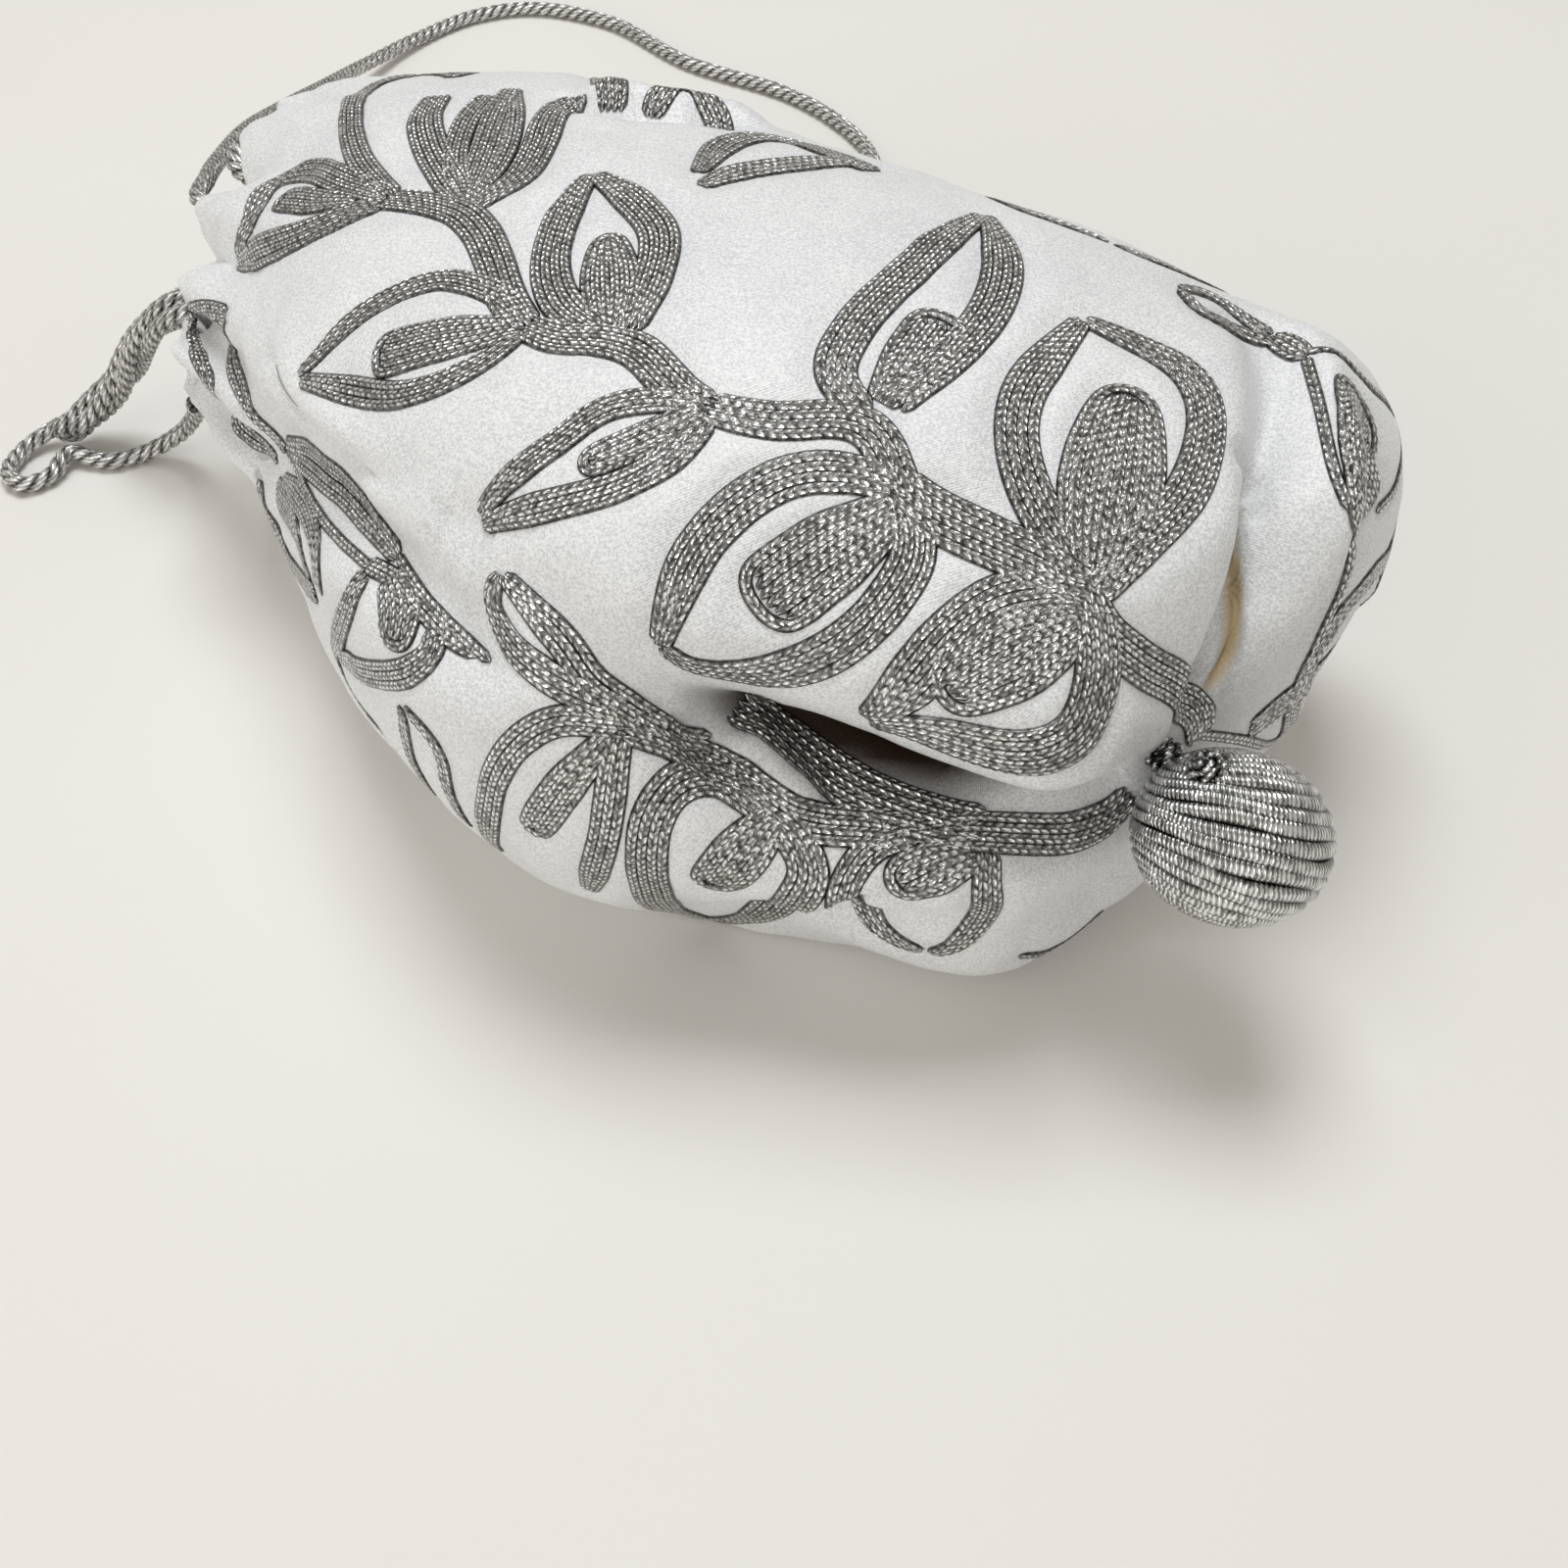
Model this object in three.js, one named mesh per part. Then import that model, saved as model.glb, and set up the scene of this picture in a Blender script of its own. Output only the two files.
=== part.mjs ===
// Drawstring purse: a satin pouch lying on its side, a cord-wound ball at its tip, and its cords.
// Millimetres, +Z up. The table is z = 0, +X runs from the mouth to the ball, +Y to the far side.

import * as THREE from "three";

// Driving dimensions
const CLOTH_WALL = 1.5;
const GATHER_COUNT = 13;
const GATHER_DEPTH = 1.5;
const GATHER_RUN = 0.17;
const GATHER_UNEVEN = 1.2;
const BALL_DIAMETER = 24;
const BALL_LENGTH = 22.6;
const BALL_CENTRE = new THREE.Vector3(98.5, -0.2, 33.8);
const SHANK_RADIUS = 1.8;
const SHANK_TO_TIP = 2.4;
const CORD_DIAMETER = 3;
const HANK_WIDTH = 8.6;
const HANK_HEIGHT = 6;

// Mesh fineness: rings run round the pouch, and their points crowd towards the folded side
const POINTS_AROUND = 60;
const CROWDED_SIDE = 150;
const CROWDING = 20;
const RING_STRETCHES = table(["from", "to", "rings"], [
  [0, 0.16, 7],
  [0.16, 0.5, 8],
  [0.5, 0.8, 12],
  [0.8, 0.98, 7],
]);
const FOLD_SAMPLES = 8;
const SLOPE_STEP = 0.002;
const LAST_SLOPE = 0.9985;
const FULL_TURN = 360;

// Cross-sections from the mouth (0) to the tip (1): centre, turn about Z, half width, lowest and
// highest point, and how square the section is (2 is an ellipse)
const SECTIONS = table(["along", "x", "y", "yaw", "half", "low", "high", "square"], [
  [0.00, -86, 9, 30, 32, 16, 53, 2.1],
  [0.05, -74, 9, 30, 38, 9, 60, 2.2],
  [0.12, -60, 10, 25, 44, -3, 66, 2.3],
  [0.22, -36, 11, 16, 53, -6, 71, 2.5],
  [0.38, 5, 6, 8, 58, -6, 78, 2.3],
  [0.52, 38, 9, -2, 58, -6, 79, 2.3],
  [0.62, 58, 16, -4, 53, -5, 75, 2.3],
  [0.72, 77, 22, -3, 47, -1, 70, 2.3],
  [0.80, 85, 21, -7, 35, 11, 65, 2.2],
  [0.87, 88, 18, -10, 23, 20, 57, 2.1],
  [0.94, 87.5, 10, -10, 11.5, 28, 48, 2.0],
  [1.00, 85, 3, -10, 0, 38, 38, 2.0],
]);

// Folds: each row is a place on the pouch (along it, and degrees round it from the far side over
// the top), how far the cloth is pushed out, how far it sags, and how wide the fold reaches
const FOLD_COLUMNS = ["along", "around", "push", "sag", "reach"];
const FOLDS = {
  nearCrease: table(FOLD_COLUMNS, [
    [0.05, 186, 0, 0, 6],
    [0.10, 173, -3, 0, 6],
    [0.16, 161, -4, 0, 6],
    [0.27, 155, -5, 0, 6],
    [0.35, 153, -5, 0, 6],
    [0.40, 156, -5, 0, 6],
    [0.45, 160, -3, 0, 6],
    [0.49, 164, 0, 0, 6],
  ]),
  pocket: table(FOLD_COLUMNS, [
    [0.36, 140, 0, 0, 7],
    [0.42, 142, -4, 0, 7],
    [0.47, 146, -5, 0, 7],
    [0.53, 153, -8, 0, 8],
    [0.58, 160, -13, 0, 9],
    [0.63, 163, -18, 0, 9.5],
    [0.68, 164, -20, 0, 9.5],
    [0.72, 165, -19, 0, 9],
    [0.79, 173, -11, 0, 7],
    [0.87, 182, -6, 0, 5],
    [0.95, 182, -2, 0, 4],
  ]),
  pocketLip: table(FOLD_COLUMNS, [
    [0.50, 143, 0, 0, 9],
    [0.59, 147, 4, 3, 9],
    [0.65, 148, 6, 5, 9],
    [0.70, 149, 6, 5, 9],
    [0.76, 153, 5, 3, 8],
    [0.83, 160, 2, 1, 7],
    [0.90, 165, 0, 0, 6],
  ]),
  shelf: table(FOLD_COLUMNS, [
    [0.50, 180, 0, 0, 12],
    [0.60, 182, 3, 0, 11],
    [0.68, 183, 4, 0, 10],
    [0.75, 188, 4, 0, 10],
    [0.82, 200, 3, 0, 9],
    [0.90, 215, -1, 0, 7],
  ]),
  lowCrease: table(FOLD_COLUMNS, [
    [0.55, 212, 0, 0, 6],
    [0.60, 207, -3, 0, 5],
    [0.65, 199, -4, 0, 5],
    [0.70, 193, -4, 0, 5],
    [0.74, 192, -2, 0, 5],
  ]),
  bottomBulge: table(FOLD_COLUMNS, [
    [0.64, 212, 0, 0, 9],
    [0.69, 216, 3, 0, 9],
    [0.73, 224, 4, 0, 9],
    [0.77, 236, 4, 0, 9],
    [0.82, 250, 3, 0, 8],
    [0.88, 262, 0, 0, 7],
  ]),
  endPleat: table(FOLD_COLUMNS, [
    [0.63, 54, 0, 0, 6],
    [0.68, 66, -5, 0, 5.5],
    [0.73, 78, -9, 0, 5.5],
    [0.77, 85, -11, 0, 5.5],
    [0.84, 93, -11, 0, 5.5],
    [0.91, 97, -8, 0, 4.5],
    [0.97, 90, -3, 0, 3.5],
  ]),
  endRidge: table(FOLD_COLUMNS, [
    [0.66, 50, 0, 0, 7],
    [0.72, 64, 3, 0, 7],
    [0.77, 71, 4, 0, 7],
    [0.82, 74, 5, 0, 6.5],
    [0.88, 68, 4, 0, 6],
    [0.94, 46, 2, 0, 5],
    [0.97, 5, 0, 0, 4],
  ]),
};

// Cord routes, as points on their centre lines
const HANDLE_ROUTE = points([
  [-83, 7, 43], [-91.5, 3, 45.5], [-98.5, 9.5, 44], [-108, 19, 40], [-121, 33.5, 34],
  [-141, 57, 22], [-158.5, 80, 11], [-169, 99, 4.5], [-173, 120, 1.8], [-171, 135, 1.6],
  [-163, 146, 1.6], [-145, 152, 1.6], [-119, 149, 1.6], [-94, 152, 1.6], [-79, 150, 1.6],
  [-65, 144, 1.6], [-54, 132, 1.6], [-53, 116, 1.6], [-65, 101, 1.6], [-80, 89, 4],
  [-94, 75, 14], [-103, 60, 27], [-107, 45, 39], [-104, 36, 44], [-101.5, 28, 46],
  [-98.5, 19, 47], [-94, 12.5, 46.5], [-87, 12.5, 45],
]);
const HANK_ROUTE = points([
  [-79, -2, 36], [-88, -8, 33], [-98, -10, 24], [-106, -12, 13], [-112, -18, 5.6],
]);
const LOOP_ROUTE = points([
  [-117, -21, 3.2], [-118, -26.5, 1.7], [-115, -32, 1.6], [-110.5, -32.5, 1.6],
  [-108.8, -28, 1.6], [-110.4, -22.6, 2.4],
]);
const STRAND_ROUTE = points([
  [-106.4, -20.4, 1.6], [-104, -19, 1.6], [-101, -14, 1.8], [-95.5, -9.5, 6], [-87.5, -9.5, 15],
  [-78, -15.5, 23.5],
]);
const HANDLE_STEPS = 68;
const HANK_STEPS = 7;
const LOOP_STEPS = 12;
const STRAND_STEPS = 10;
const CORD_SIDES = 8;
const HANK_SIDES = 12;
const BALL_SIDES = 20;
const BALL_BANDS = 11;

// Looks
const SATIN = { color: 0xf1f0ec, roughness: 0.45, metalness: 0 };
const SILVER_CORD = { color: 0x77777a, roughness: 0.5, metalness: 0.5 };
const SILVER_WINDING = { color: 0x9a9a98, roughness: 0.4, metalness: 0.7 };

function table(columns, rows) {
  return rows.map((row) => Object.fromEntries(columns.map((name, i) => [name, row[i]])));
}

function points(rows) {
  return rows.map((row) => new THREE.Vector3(...row));
}

function radians(degrees) {
  return THREE.MathUtils.degToRad(degrees);
}

// Slope of a smooth curve through a column at each of its rows
function slopes(at, values) {
  const rise = values.slice(1).map((value, i) => (value - values[i]) / (at[i + 1] - at[i]));
  return values.map((_, i) => {
    if (i === 0) return rise[0];
    if (i === values.length - 1) return rise[i - 1];
    const before = at[i] - at[i - 1];
    const after = at[i + 1] - at[i];
    return (rise[i - 1] * after + rise[i] * before) / (before + after);
  });
}

// A row between the rows of a table, each column on its own smooth curve
function smoothRows(rows, at) {
  const names = Object.keys(rows[0]);
  const columns = names.map((name) => rows.map((row) => row[name]));
  const tangents = columns.map((column) => slopes(at, column));
  return (place) => {
    const next = at.findIndex((value) => value > place);
    const i = next < 0 ? at.length - 2 : Math.max(next - 1, 0);
    const span = at[i + 1] - at[i];
    const t = (place - at[i]) / span;
    const blend = (column, tangent) =>
      (1 + 2 * t) * (1 - t) ** 2 * column[i] + t * (1 - t) ** 2 * span * tangent[i]
      + t * t * (3 - 2 * t) * column[i + 1] + t * t * (t - 1) * span * tangent[i + 1];
    return Object.fromEntries(names.map((name, k) => [name, blend(columns[k], tangents[k])]));
  };
}

const sectionAt = smoothRows(SECTIONS, SECTIONS.map((row) => row.along));

// The smooth pouch before it is folded
function smoothPouch(along, around) {
  const { x, y, yaw, half, low, high, square } = sectionAt(along);
  const cosine = Math.cos(around);
  const sine = Math.sin(around);
  const power = 2 / square;
  const across = Math.max(half, 0) * Math.sign(cosine) * Math.abs(cosine) ** power;
  const rise = Math.max((high - low) / 2, 0) * Math.sign(sine) * Math.abs(sine) ** power;
  const turn = radians(yaw);
  return new THREE.Vector3(
    x - Math.sin(turn) * across, y + Math.cos(turn) * across, (low + high) / 2 + rise);
}

function smoothNormal(along, around) {
  const after = Math.min(along + SLOPE_STEP, LAST_SLOPE);
  const before = Math.max(Math.min(along - SLOPE_STEP, after - SLOPE_STEP), 0);
  const middle = Math.min(along, LAST_SLOPE);
  const lengthwise = smoothPouch(after, around).sub(smoothPouch(before, around));
  const roundwise = smoothPouch(middle, around + SLOPE_STEP)
    .sub(smoothPouch(middle, around - SLOPE_STEP));
  return roundwise.cross(lengthwise).normalize();
}

// Points along a fold, each with the share of the fold's length that it stands for
function foldSamples(rows) {
  const rowAt = smoothRows(rows, rows.map((_, i) => i));
  const count = FOLD_SAMPLES * (rows.length - 1);
  const samples = Array.from({ length: count + 1 }, (_, i) => {
    const row = rowAt(i / FOLD_SAMPLES);
    return { ...row, point: smoothPouch(row.along, radians(row.around)) };
  });
  return samples.map((sample, i) => {
    const back = i > 0 ? sample.point.distanceTo(samples[i - 1].point) : 0;
    const ahead = i < count ? sample.point.distanceTo(samples[i + 1].point) : 0;
    return { ...sample, run: (back + ahead) / 2 };
  });
}

const foldPoints = Object.values(FOLDS).flatMap(foldSamples);

// The folded, gathered cloth, flat where it rests on the table
function clothPoint(along, around) {
  const start = smoothPouch(along, around);
  const normal = smoothNormal(along, around);
  let push = 0;
  let sag = 0;
  for (const fold of foldPoints) {
    const away = start.distanceToSquared(fold.point) / fold.reach ** 2;
    const share = fold.run / (Math.sqrt(Math.PI) * fold.reach) * Math.exp(-away);
    push += fold.push * share;
    sag += fold.sag * share;
  }
  const gather = Math.max(1 - along / GATHER_RUN, 0) ** 1.3;
  const ripple = GATHER_COUNT * around + GATHER_UNEVEN * Math.sin(2 * around);
  push += GATHER_DEPTH * gather * Math.cos(ripple);
  const point = start.addScaledVector(normal, push);
  point.z = Math.max(point.z - sag, 0);
  return point;
}

function ringPlaces() {
  const places = [];
  for (const { from, to, rings } of RING_STRETCHES) {
    for (let i = 0; i < rings; i += 1) places.push(from + (to - from) * i / rings);
  }
  places.push(RING_STRETCHES.at(-1).to);
  return places;
}

// Degrees round the pouch for point i, crowded towards the folded side
function pointAngle(i) {
  const even = FULL_TURN * i / POINTS_AROUND;
  return radians(even - CROWDING * Math.sin(radians(even - CROWDED_SIDE)));
}

function skinTriangles(rings) {
  const triangles = [];
  const tip = rings * POINTS_AROUND;
  for (let i = 0; i < rings; i += 1) {
    for (let j = 0; j < POINTS_AROUND; j += 1) {
      const k = (j + 1) % POINTS_AROUND;
      const a = i * POINTS_AROUND + j;
      const b = i * POINTS_AROUND + k;
      if (i === rings - 1) {
        triangles.push([a, b, tip]);
      } else {
        triangles.push([a, b, b + POINTS_AROUND]);
        triangles.push([a, b + POINTS_AROUND, a + POINTS_AROUND]);
      }
    }
  }
  return triangles;
}

function indexedGeometry(vertices, triangles) {
  const geometry = new THREE.BufferGeometry();
  const numbers = vertices.flatMap((vertex) => vertex.toArray());
  geometry.setAttribute("position", new THREE.Float32BufferAttribute(numbers, 3));
  geometry.setIndex(triangles.flat());
  geometry.computeVertexNormals();
  return geometry;
}

// One closed cloth wall: the outer skin, the inner skin a wall's thickness inside it, and the rim
function pouchGeometry() {
  const places = ringPlaces();
  const outer = [];
  for (const along of places) {
    for (let j = 0; j < POINTS_AROUND; j += 1) outer.push(clothPoint(along, pointAngle(j)));
  }
  outer.push(clothPoint(1, 0));
  const skin = skinTriangles(places.length);
  const normals = indexedGeometry(outer, skin).getAttribute("normal");
  const inner = outer.map((vertex, i) => {
    const inward = new THREE.Vector3().fromBufferAttribute(normals, i).multiplyScalar(-CLOTH_WALL);
    const point = vertex.clone().add(inward);
    point.z = Math.max(point.z, CLOTH_WALL);
    return point;
  });
  const lining = skin.map(([a, b, c]) => [a + outer.length, c + outer.length, b + outer.length]);
  const rim = [];
  for (let j = 0; j < POINTS_AROUND; j += 1) {
    const k = (j + 1) % POINTS_AROUND;
    rim.push([k, j, j + outer.length]);
    rim.push([k, j + outer.length, k + outer.length]);
  }
  return indexedGeometry([...outer, ...inner], [...skin, ...lining, ...rim]);
}

// A short shank that swells into the ball, turned about the line from the pouch's tip
function ballGeometry(shankLength) {
  const radius = BALL_DIAMETER / 2;
  const halfLength = BALL_LENGTH / 2;
  const neck = Math.asin(SHANK_RADIUS / radius);
  const profile = [new THREE.Vector2(0, -shankLength), new THREE.Vector2(SHANK_RADIUS, -shankLength)];
  for (let i = 0; i < BALL_BANDS; i += 1) {
    const angle = neck + (Math.PI - neck) * i / BALL_BANDS;
    profile.push(new THREE.Vector2(radius * Math.sin(angle), -halfLength * Math.cos(angle)));
  }
  profile.push(new THREE.Vector2(0, halfLength));
  return new THREE.LatheGeometry(profile, BALL_SIDES);
}

function ovalShape(width, height, sides) {
  const corners = Array.from({ length: sides }, (_, i) => {
    const angle = radians(FULL_TURN * i / sides);
    return new THREE.Vector2(Math.cos(angle) * height / 2, Math.sin(angle) * width / 2);
  });
  return new THREE.Shape(corners);
}

function cordGeometry(route, steps, width, height, sides) {
  const extrudePath = new THREE.CatmullRomCurve3(route, false, "centripetal");
  return new THREE.ExtrudeGeometry(ovalShape(width, height, sides), { steps, extrudePath });
}

function piece(name, geometry, looks) {
  const mesh = new THREE.Mesh(geometry, new THREE.MeshStandardMaterial(looks));
  mesh.name = name;
  return mesh;
}

function ballFinial() {
  const axis = BALL_CENTRE.clone().sub(clothPoint(1, 0));
  const shankLength = axis.length() - SHANK_TO_TIP;
  const ball = piece("ball_finial", ballGeometry(shankLength), SILVER_WINDING);
  ball.position.copy(BALL_CENTRE);
  ball.quaternion.setFromUnitVectors(new THREE.Vector3(0, 1, 0), axis.normalize());
  return ball;
}

function cord(name, route, steps) {
  return piece(name, cordGeometry(route, steps, CORD_DIAMETER, CORD_DIAMETER, CORD_SIDES), SILVER_CORD);
}

function tailHank() {
  const geometry = cordGeometry(HANK_ROUTE, HANK_STEPS, HANK_WIDTH, HANK_HEIGHT, HANK_SIDES);
  return piece("tail_hank", geometry, SILVER_CORD);
}

const purse = new THREE.Group();
purse.add(piece("pouch", pouchGeometry(), SATIN));
purse.add(ballFinial());
purse.add(cord("handle_cord", HANDLE_ROUTE, HANDLE_STEPS));
purse.add(tailHank());
purse.add(cord("tail_loop", LOOP_ROUTE, LOOP_STEPS));
purse.add(cord("tail_strand", STRAND_ROUTE, STRAND_STEPS));

export default purse;
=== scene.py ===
from math import atan, cos, pi, radians, sin, sqrt

import bpy
import numpy as np
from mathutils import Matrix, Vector, noise
from mathutils.bvhtree import BVHTree
from mathutils.kdtree import KDTree


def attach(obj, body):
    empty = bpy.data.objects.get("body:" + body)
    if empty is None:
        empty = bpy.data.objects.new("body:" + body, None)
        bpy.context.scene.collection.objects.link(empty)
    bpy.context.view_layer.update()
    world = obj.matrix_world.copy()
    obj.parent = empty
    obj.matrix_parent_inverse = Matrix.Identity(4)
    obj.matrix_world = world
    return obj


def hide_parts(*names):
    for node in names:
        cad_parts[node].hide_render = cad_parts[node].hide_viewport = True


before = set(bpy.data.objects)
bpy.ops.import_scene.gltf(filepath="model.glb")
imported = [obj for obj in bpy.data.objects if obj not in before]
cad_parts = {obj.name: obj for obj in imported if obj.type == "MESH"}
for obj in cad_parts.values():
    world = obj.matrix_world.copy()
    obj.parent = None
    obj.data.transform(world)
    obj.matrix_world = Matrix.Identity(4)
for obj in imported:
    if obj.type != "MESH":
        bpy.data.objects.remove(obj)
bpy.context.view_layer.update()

# Lengths and places are in millimetres until a mesh is made
MM = 0.001

# Camera. The focal length is in pixels of the photo
IMAGE_SIZE = 1600
FOCAL_PIXELS = 1931
CAMERA_PLACE = np.array([148.0, -147.0, 205.5])
CAMERA_AZIMUTH = 39
CAMERA_ELEVATION = 48
CAMERA_CLIP = 10
# Distances tested along a line of sight that misses the cloth
SIGHT_STEPS = np.arange(180, 420, 2.0)

# Cords
CORD_DIAMETER = 3
CORD_PLIES = 3
CORD_LAY = 7.2
CORD_STEP = 0.5
PLY_SHARE = 0.265
PLY_OVAL = 1.1
ROPE_SIDES = 8
HANDLE_ROUTE = [
    (-83, 7, 43), (-91.5, 3, 45.5), (-98.5, 9.5, 44), (-108, 19, 40), (-121, 33.5, 34), (-141, 57, 22),
    (-158.5, 80, 11), (-169, 99, 4.5), (-173, 120, 1.8), (-171, 135, 1.6), (-163, 146, 1.6),
    (-145, 152, 1.6), (-119, 149, 1.6), (-94, 152, 1.6), (-79, 150, 1.6), (-65, 144, 1.6),
    (-54, 132, 1.6), (-53, 116, 1.6), (-65, 101, 1.6), (-80, 89, 4), (-94, 75, 14), (-103, 60, 27),
    (-107, 45, 39), (-104, 36, 44), (-101.5, 28, 46), (-98.5, 19, 47), (-94, 12.5, 46.5), (-87, 12.5, 45)]
HANK_ROUTE = [(-79, -2, 36), (-88, -8, 33), (-98, -10, 24), (-106, -12, 13), (-112, -18, 5.6)]
# The hank's strands turn once about its middle in HANK_TURN and come back in a round eye
HANK_WIDTH = 8.6
HANK_HEIGHT = 6
HANK_TURN = 62
HANK_START = 0.2
HANK_STEP = 1.0
HANK_SKIP = 3
EYE_SPREAD = 1.2
EYE_LEAD = 1.5
EYE_POINTS = 9
INNER_SHORT = 4
TAIL_ROUTE = [
    (-75.6, -17, 25.6), (-78, -15.5, 23.5), (-87.5, -9.5, 15), (-95.5, -9.5, 6), (-101, -14, 1.8),
    (-104, -19, 1.6), (-106.4, -20.4, 1.6), (-110.4, -22.6, 2.4), (-108.8, -28, 1.6), (-110.5, -32.5, 1.6),
    (-115, -32, 1.6), (-118, -26.5, 1.7), (-117, -21, 3.2), (-113.5, -18, 5.6), (-109, -15, 9)]

# Pouch: the solid's gathers, sections and folds, with puffs, a rolled rim and a thinner wall
CLOTH_WALL = 1.2
GATHER_COUNT = 13
GATHER_DEPTH = 1.5
GATHER_RUN = 0.17
GATHER_FADE = 1.3
GATHER_UNEVEN = 1.2
PUFF_HEIGHT = 2.4
PUFF_RUN = 0.05
PUFF_MEAN = 0.6
ROLL_RADIUS = 4
ROLL_LEAST = 0.55
ROLL_LUMP = 0.6
ROLL_TURN = 130
ROLL_ROWS = 12
ROLL_RUN = 0.05
SECTIONS = [
    # along, x, y, yaw, half width, low, high, squareness
    (0, -86, 9, 30, 32, 16, 53, 2.1), (0.05, -74, 9, 30, 38, 9, 60, 2.2),
    (0.12, -60, 10, 25, 44, -3, 66, 2.3), (0.22, -36, 11, 16, 53, -6, 71, 2.5),
    (0.38, 5, 6, 8, 58, -6, 78, 2.3), (0.52, 38, 9, -2, 58, -6, 79, 2.3),
    (0.62, 58, 16, -4, 53, -5, 75, 2.3), (0.72, 77, 22, -3, 47, -1, 70, 2.3),
    (0.8, 85, 21, -7, 35, 11, 65, 2.2), (0.87, 88, 18, -10, 23, 20, 57, 2.1),
    (0.94, 87.5, 10, -10, 11.5, 28, 48, 2.0), (1, 85, 3, -10, 0, 38, 38, 2.0)]
FOLDS = {
    # along, around, push, reach, and sag where there is one
    "near_crease": [
        (0.05, 186, 0, 6), (0.1, 173, -3, 6), (0.16, 161, -4, 6), (0.27, 155, -5, 6), (0.35, 153, -5, 6),
        (0.4, 156, -5, 6), (0.45, 160, -3, 6), (0.49, 164, 0, 6)],
    "pocket": [
        (0.36, 140, 0, 7), (0.42, 142, -3, 7), (0.47, 146, -3, 7), (0.53, 153, -4, 7.5),
        (0.58, 160, -9, 8.5), (0.63, 163, -17, 9.5), (0.68, 164, -20, 9.5), (0.72, 165, -19, 9),
        (0.79, 173, -11, 7), (0.87, 182, -6, 5), (0.95, 182, -2, 4)],
    "pocket_lip": [
        (0.5, 143, 0, 9), (0.59, 147, 4, 9, 3), (0.65, 148, 6, 9, 5), (0.7, 149, 7, 9, 7),
        (0.75, 151, 8, 8, 8.5), (0.79, 153, 6.5, 8, 6), (0.84, 160, 3, 7, 2), (0.9, 165, 0, 6)],
    "shelf": [
        (0.5, 180, 0, 12), (0.6, 182, 3, 11), (0.68, 183, 4, 10), (0.75, 188, 4, 10), (0.82, 200, 3, 9),
        (0.9, 215, -1, 7)],
    "low_crease": [
        (0.55, 212, 0, 6), (0.6, 207, -3, 5), (0.65, 199, -4, 5), (0.7, 193, -4, 5), (0.74, 192, -2, 5)],
    "bottom_bulge": [
        (0.64, 212, 0, 9), (0.69, 216, 3, 9), (0.73, 224, 4, 9), (0.77, 236, 4, 9), (0.82, 250, 3, 8),
        (0.88, 262, 0, 7)],
    "end_pleat": [
        (0.63, 54, 0, 6), (0.68, 66, -4, 4.5), (0.73, 78, -7, 4.2), (0.77, 85, -8.5, 4),
        (0.84, 93, -8.5, 4), (0.91, 97, -7, 3.6), (0.97, 90, -3, 3)],
    "end_ridge": [
        (0.66, 50, 0, 7), (0.72, 64, 3, 7), (0.77, 71, 4, 7), (0.82, 74, 5, 6.5), (0.88, 68, 4, 6),
        (0.94, 46, 2, 5), (0.97, 5, 0, 4)],
    "end_crease": [
        (0.7, 56, 0, 4), (0.77, 62, -1.5, 4), (0.84, 54, -2.5, 4), (0.88, 42, -2.5, 4), (0.91, 25, -2, 4),
        (0.92, 0, -1, 4), (0.91, -40, 0, 4)],
    "settle": [
        (0.28, 232, 0, 7), (0.38, 234, 3, 7), (0.5, 235, 3, 7), (0.6, 233, 3, 7), (0.66, 232, 2, 7),
        (0.72, 234, 0, 7)],
    "dimple": [(0.24, 132, 0, 5), (0.28, 138, -1.6, 4.5), (0.33, 141, -2, 4.5), (0.38, 140, 0, 5)],
    "dimple_ridge": [(0.24, 142, 0, 5), (0.29, 147, 1.2, 4.5), (0.35, 147, 1.2, 4.5), (0.41, 149, 0, 5)],
}
FOLD_SAMPLES = 8
SLOPE_STEP = 0.002
LAST_SLOPE = 0.9985

# Pouch mesh: rows from rim to tip, columns round it, the inner skin's distance and the texture
OUTER_ROWS = 236
COLUMNS = 300
ROW_CROWDING = 0.94
LAST_ROW = 0.9965
INNER_ROWS = 60
INNER_STOP = 8
NECK_ROWS = 50
RIM_WALL = 0.3
PLEAT_ROOM = 0.3
INSET_SPREAD = (7, 5)
TEXTURE_LENGTH = 260
TEXTURE_GIRTH = 330

# Creases: how fast they rise from their ends, and the bank beside them in reaches
CREASE_STEP = 1.0
CREASE_TAPER = 4.5
CREASE_END = 2
CREASE_MARGIN = 6
BANK_PLACE = 2.4
BANK_REACH = 1.6

# Rumples: size, octaves and shift of their noise, and heights
COARSE_NOISE = (26, 3, (0, 0, 0))
FINE_NOISE = (8, 2, (7, 3, 1))
NOISE_FALL = 0.9
NOISE_STEP = 2.1
COARSE_RUMPLE = 0.55
FINE_RUMPLE = 0.12
MOUTH_RUMPLE = 0.9
MOUTH_RUN = 0.1

# Painted shade in the satin: layer, fold, depths where it starts and is full, strength on the lining. The
# first is painted dark shade deep in the pocket and on the lining, the second painted warm tan shade in the
# end slit
PAINTED_SHADES = [("painted_dark_shade", "pocket", 8, 13, 0.6), ("painted_warm_shade", "end_slit", 0.8, 2.6, 0)]
LINING_SHADE_START = 0.04
LINING_SHADE_RUN = 0.06

# Ball
BALL_CENTRE = np.array([97.6, -0.1, 34.0])
BALL_RADIUS = 12.2
BALL_FLATNESS = 0.87
BALL_WINDING_AXIS = np.array([-0.187, 0.628, 0.747])
BALL_RINGS = 19
BALL_PINCH_SIDE = np.array([-0.78, -0.62, 0.05])
BALL_PINCH = 0.4
KNOT_PLACE = np.array([-0.385, -0.113, 0.919])
RING_STEPS = 150
RING_SIDES = 10
RING_OVERLAP = 1.2
PINCH_REACH = 0.95
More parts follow.
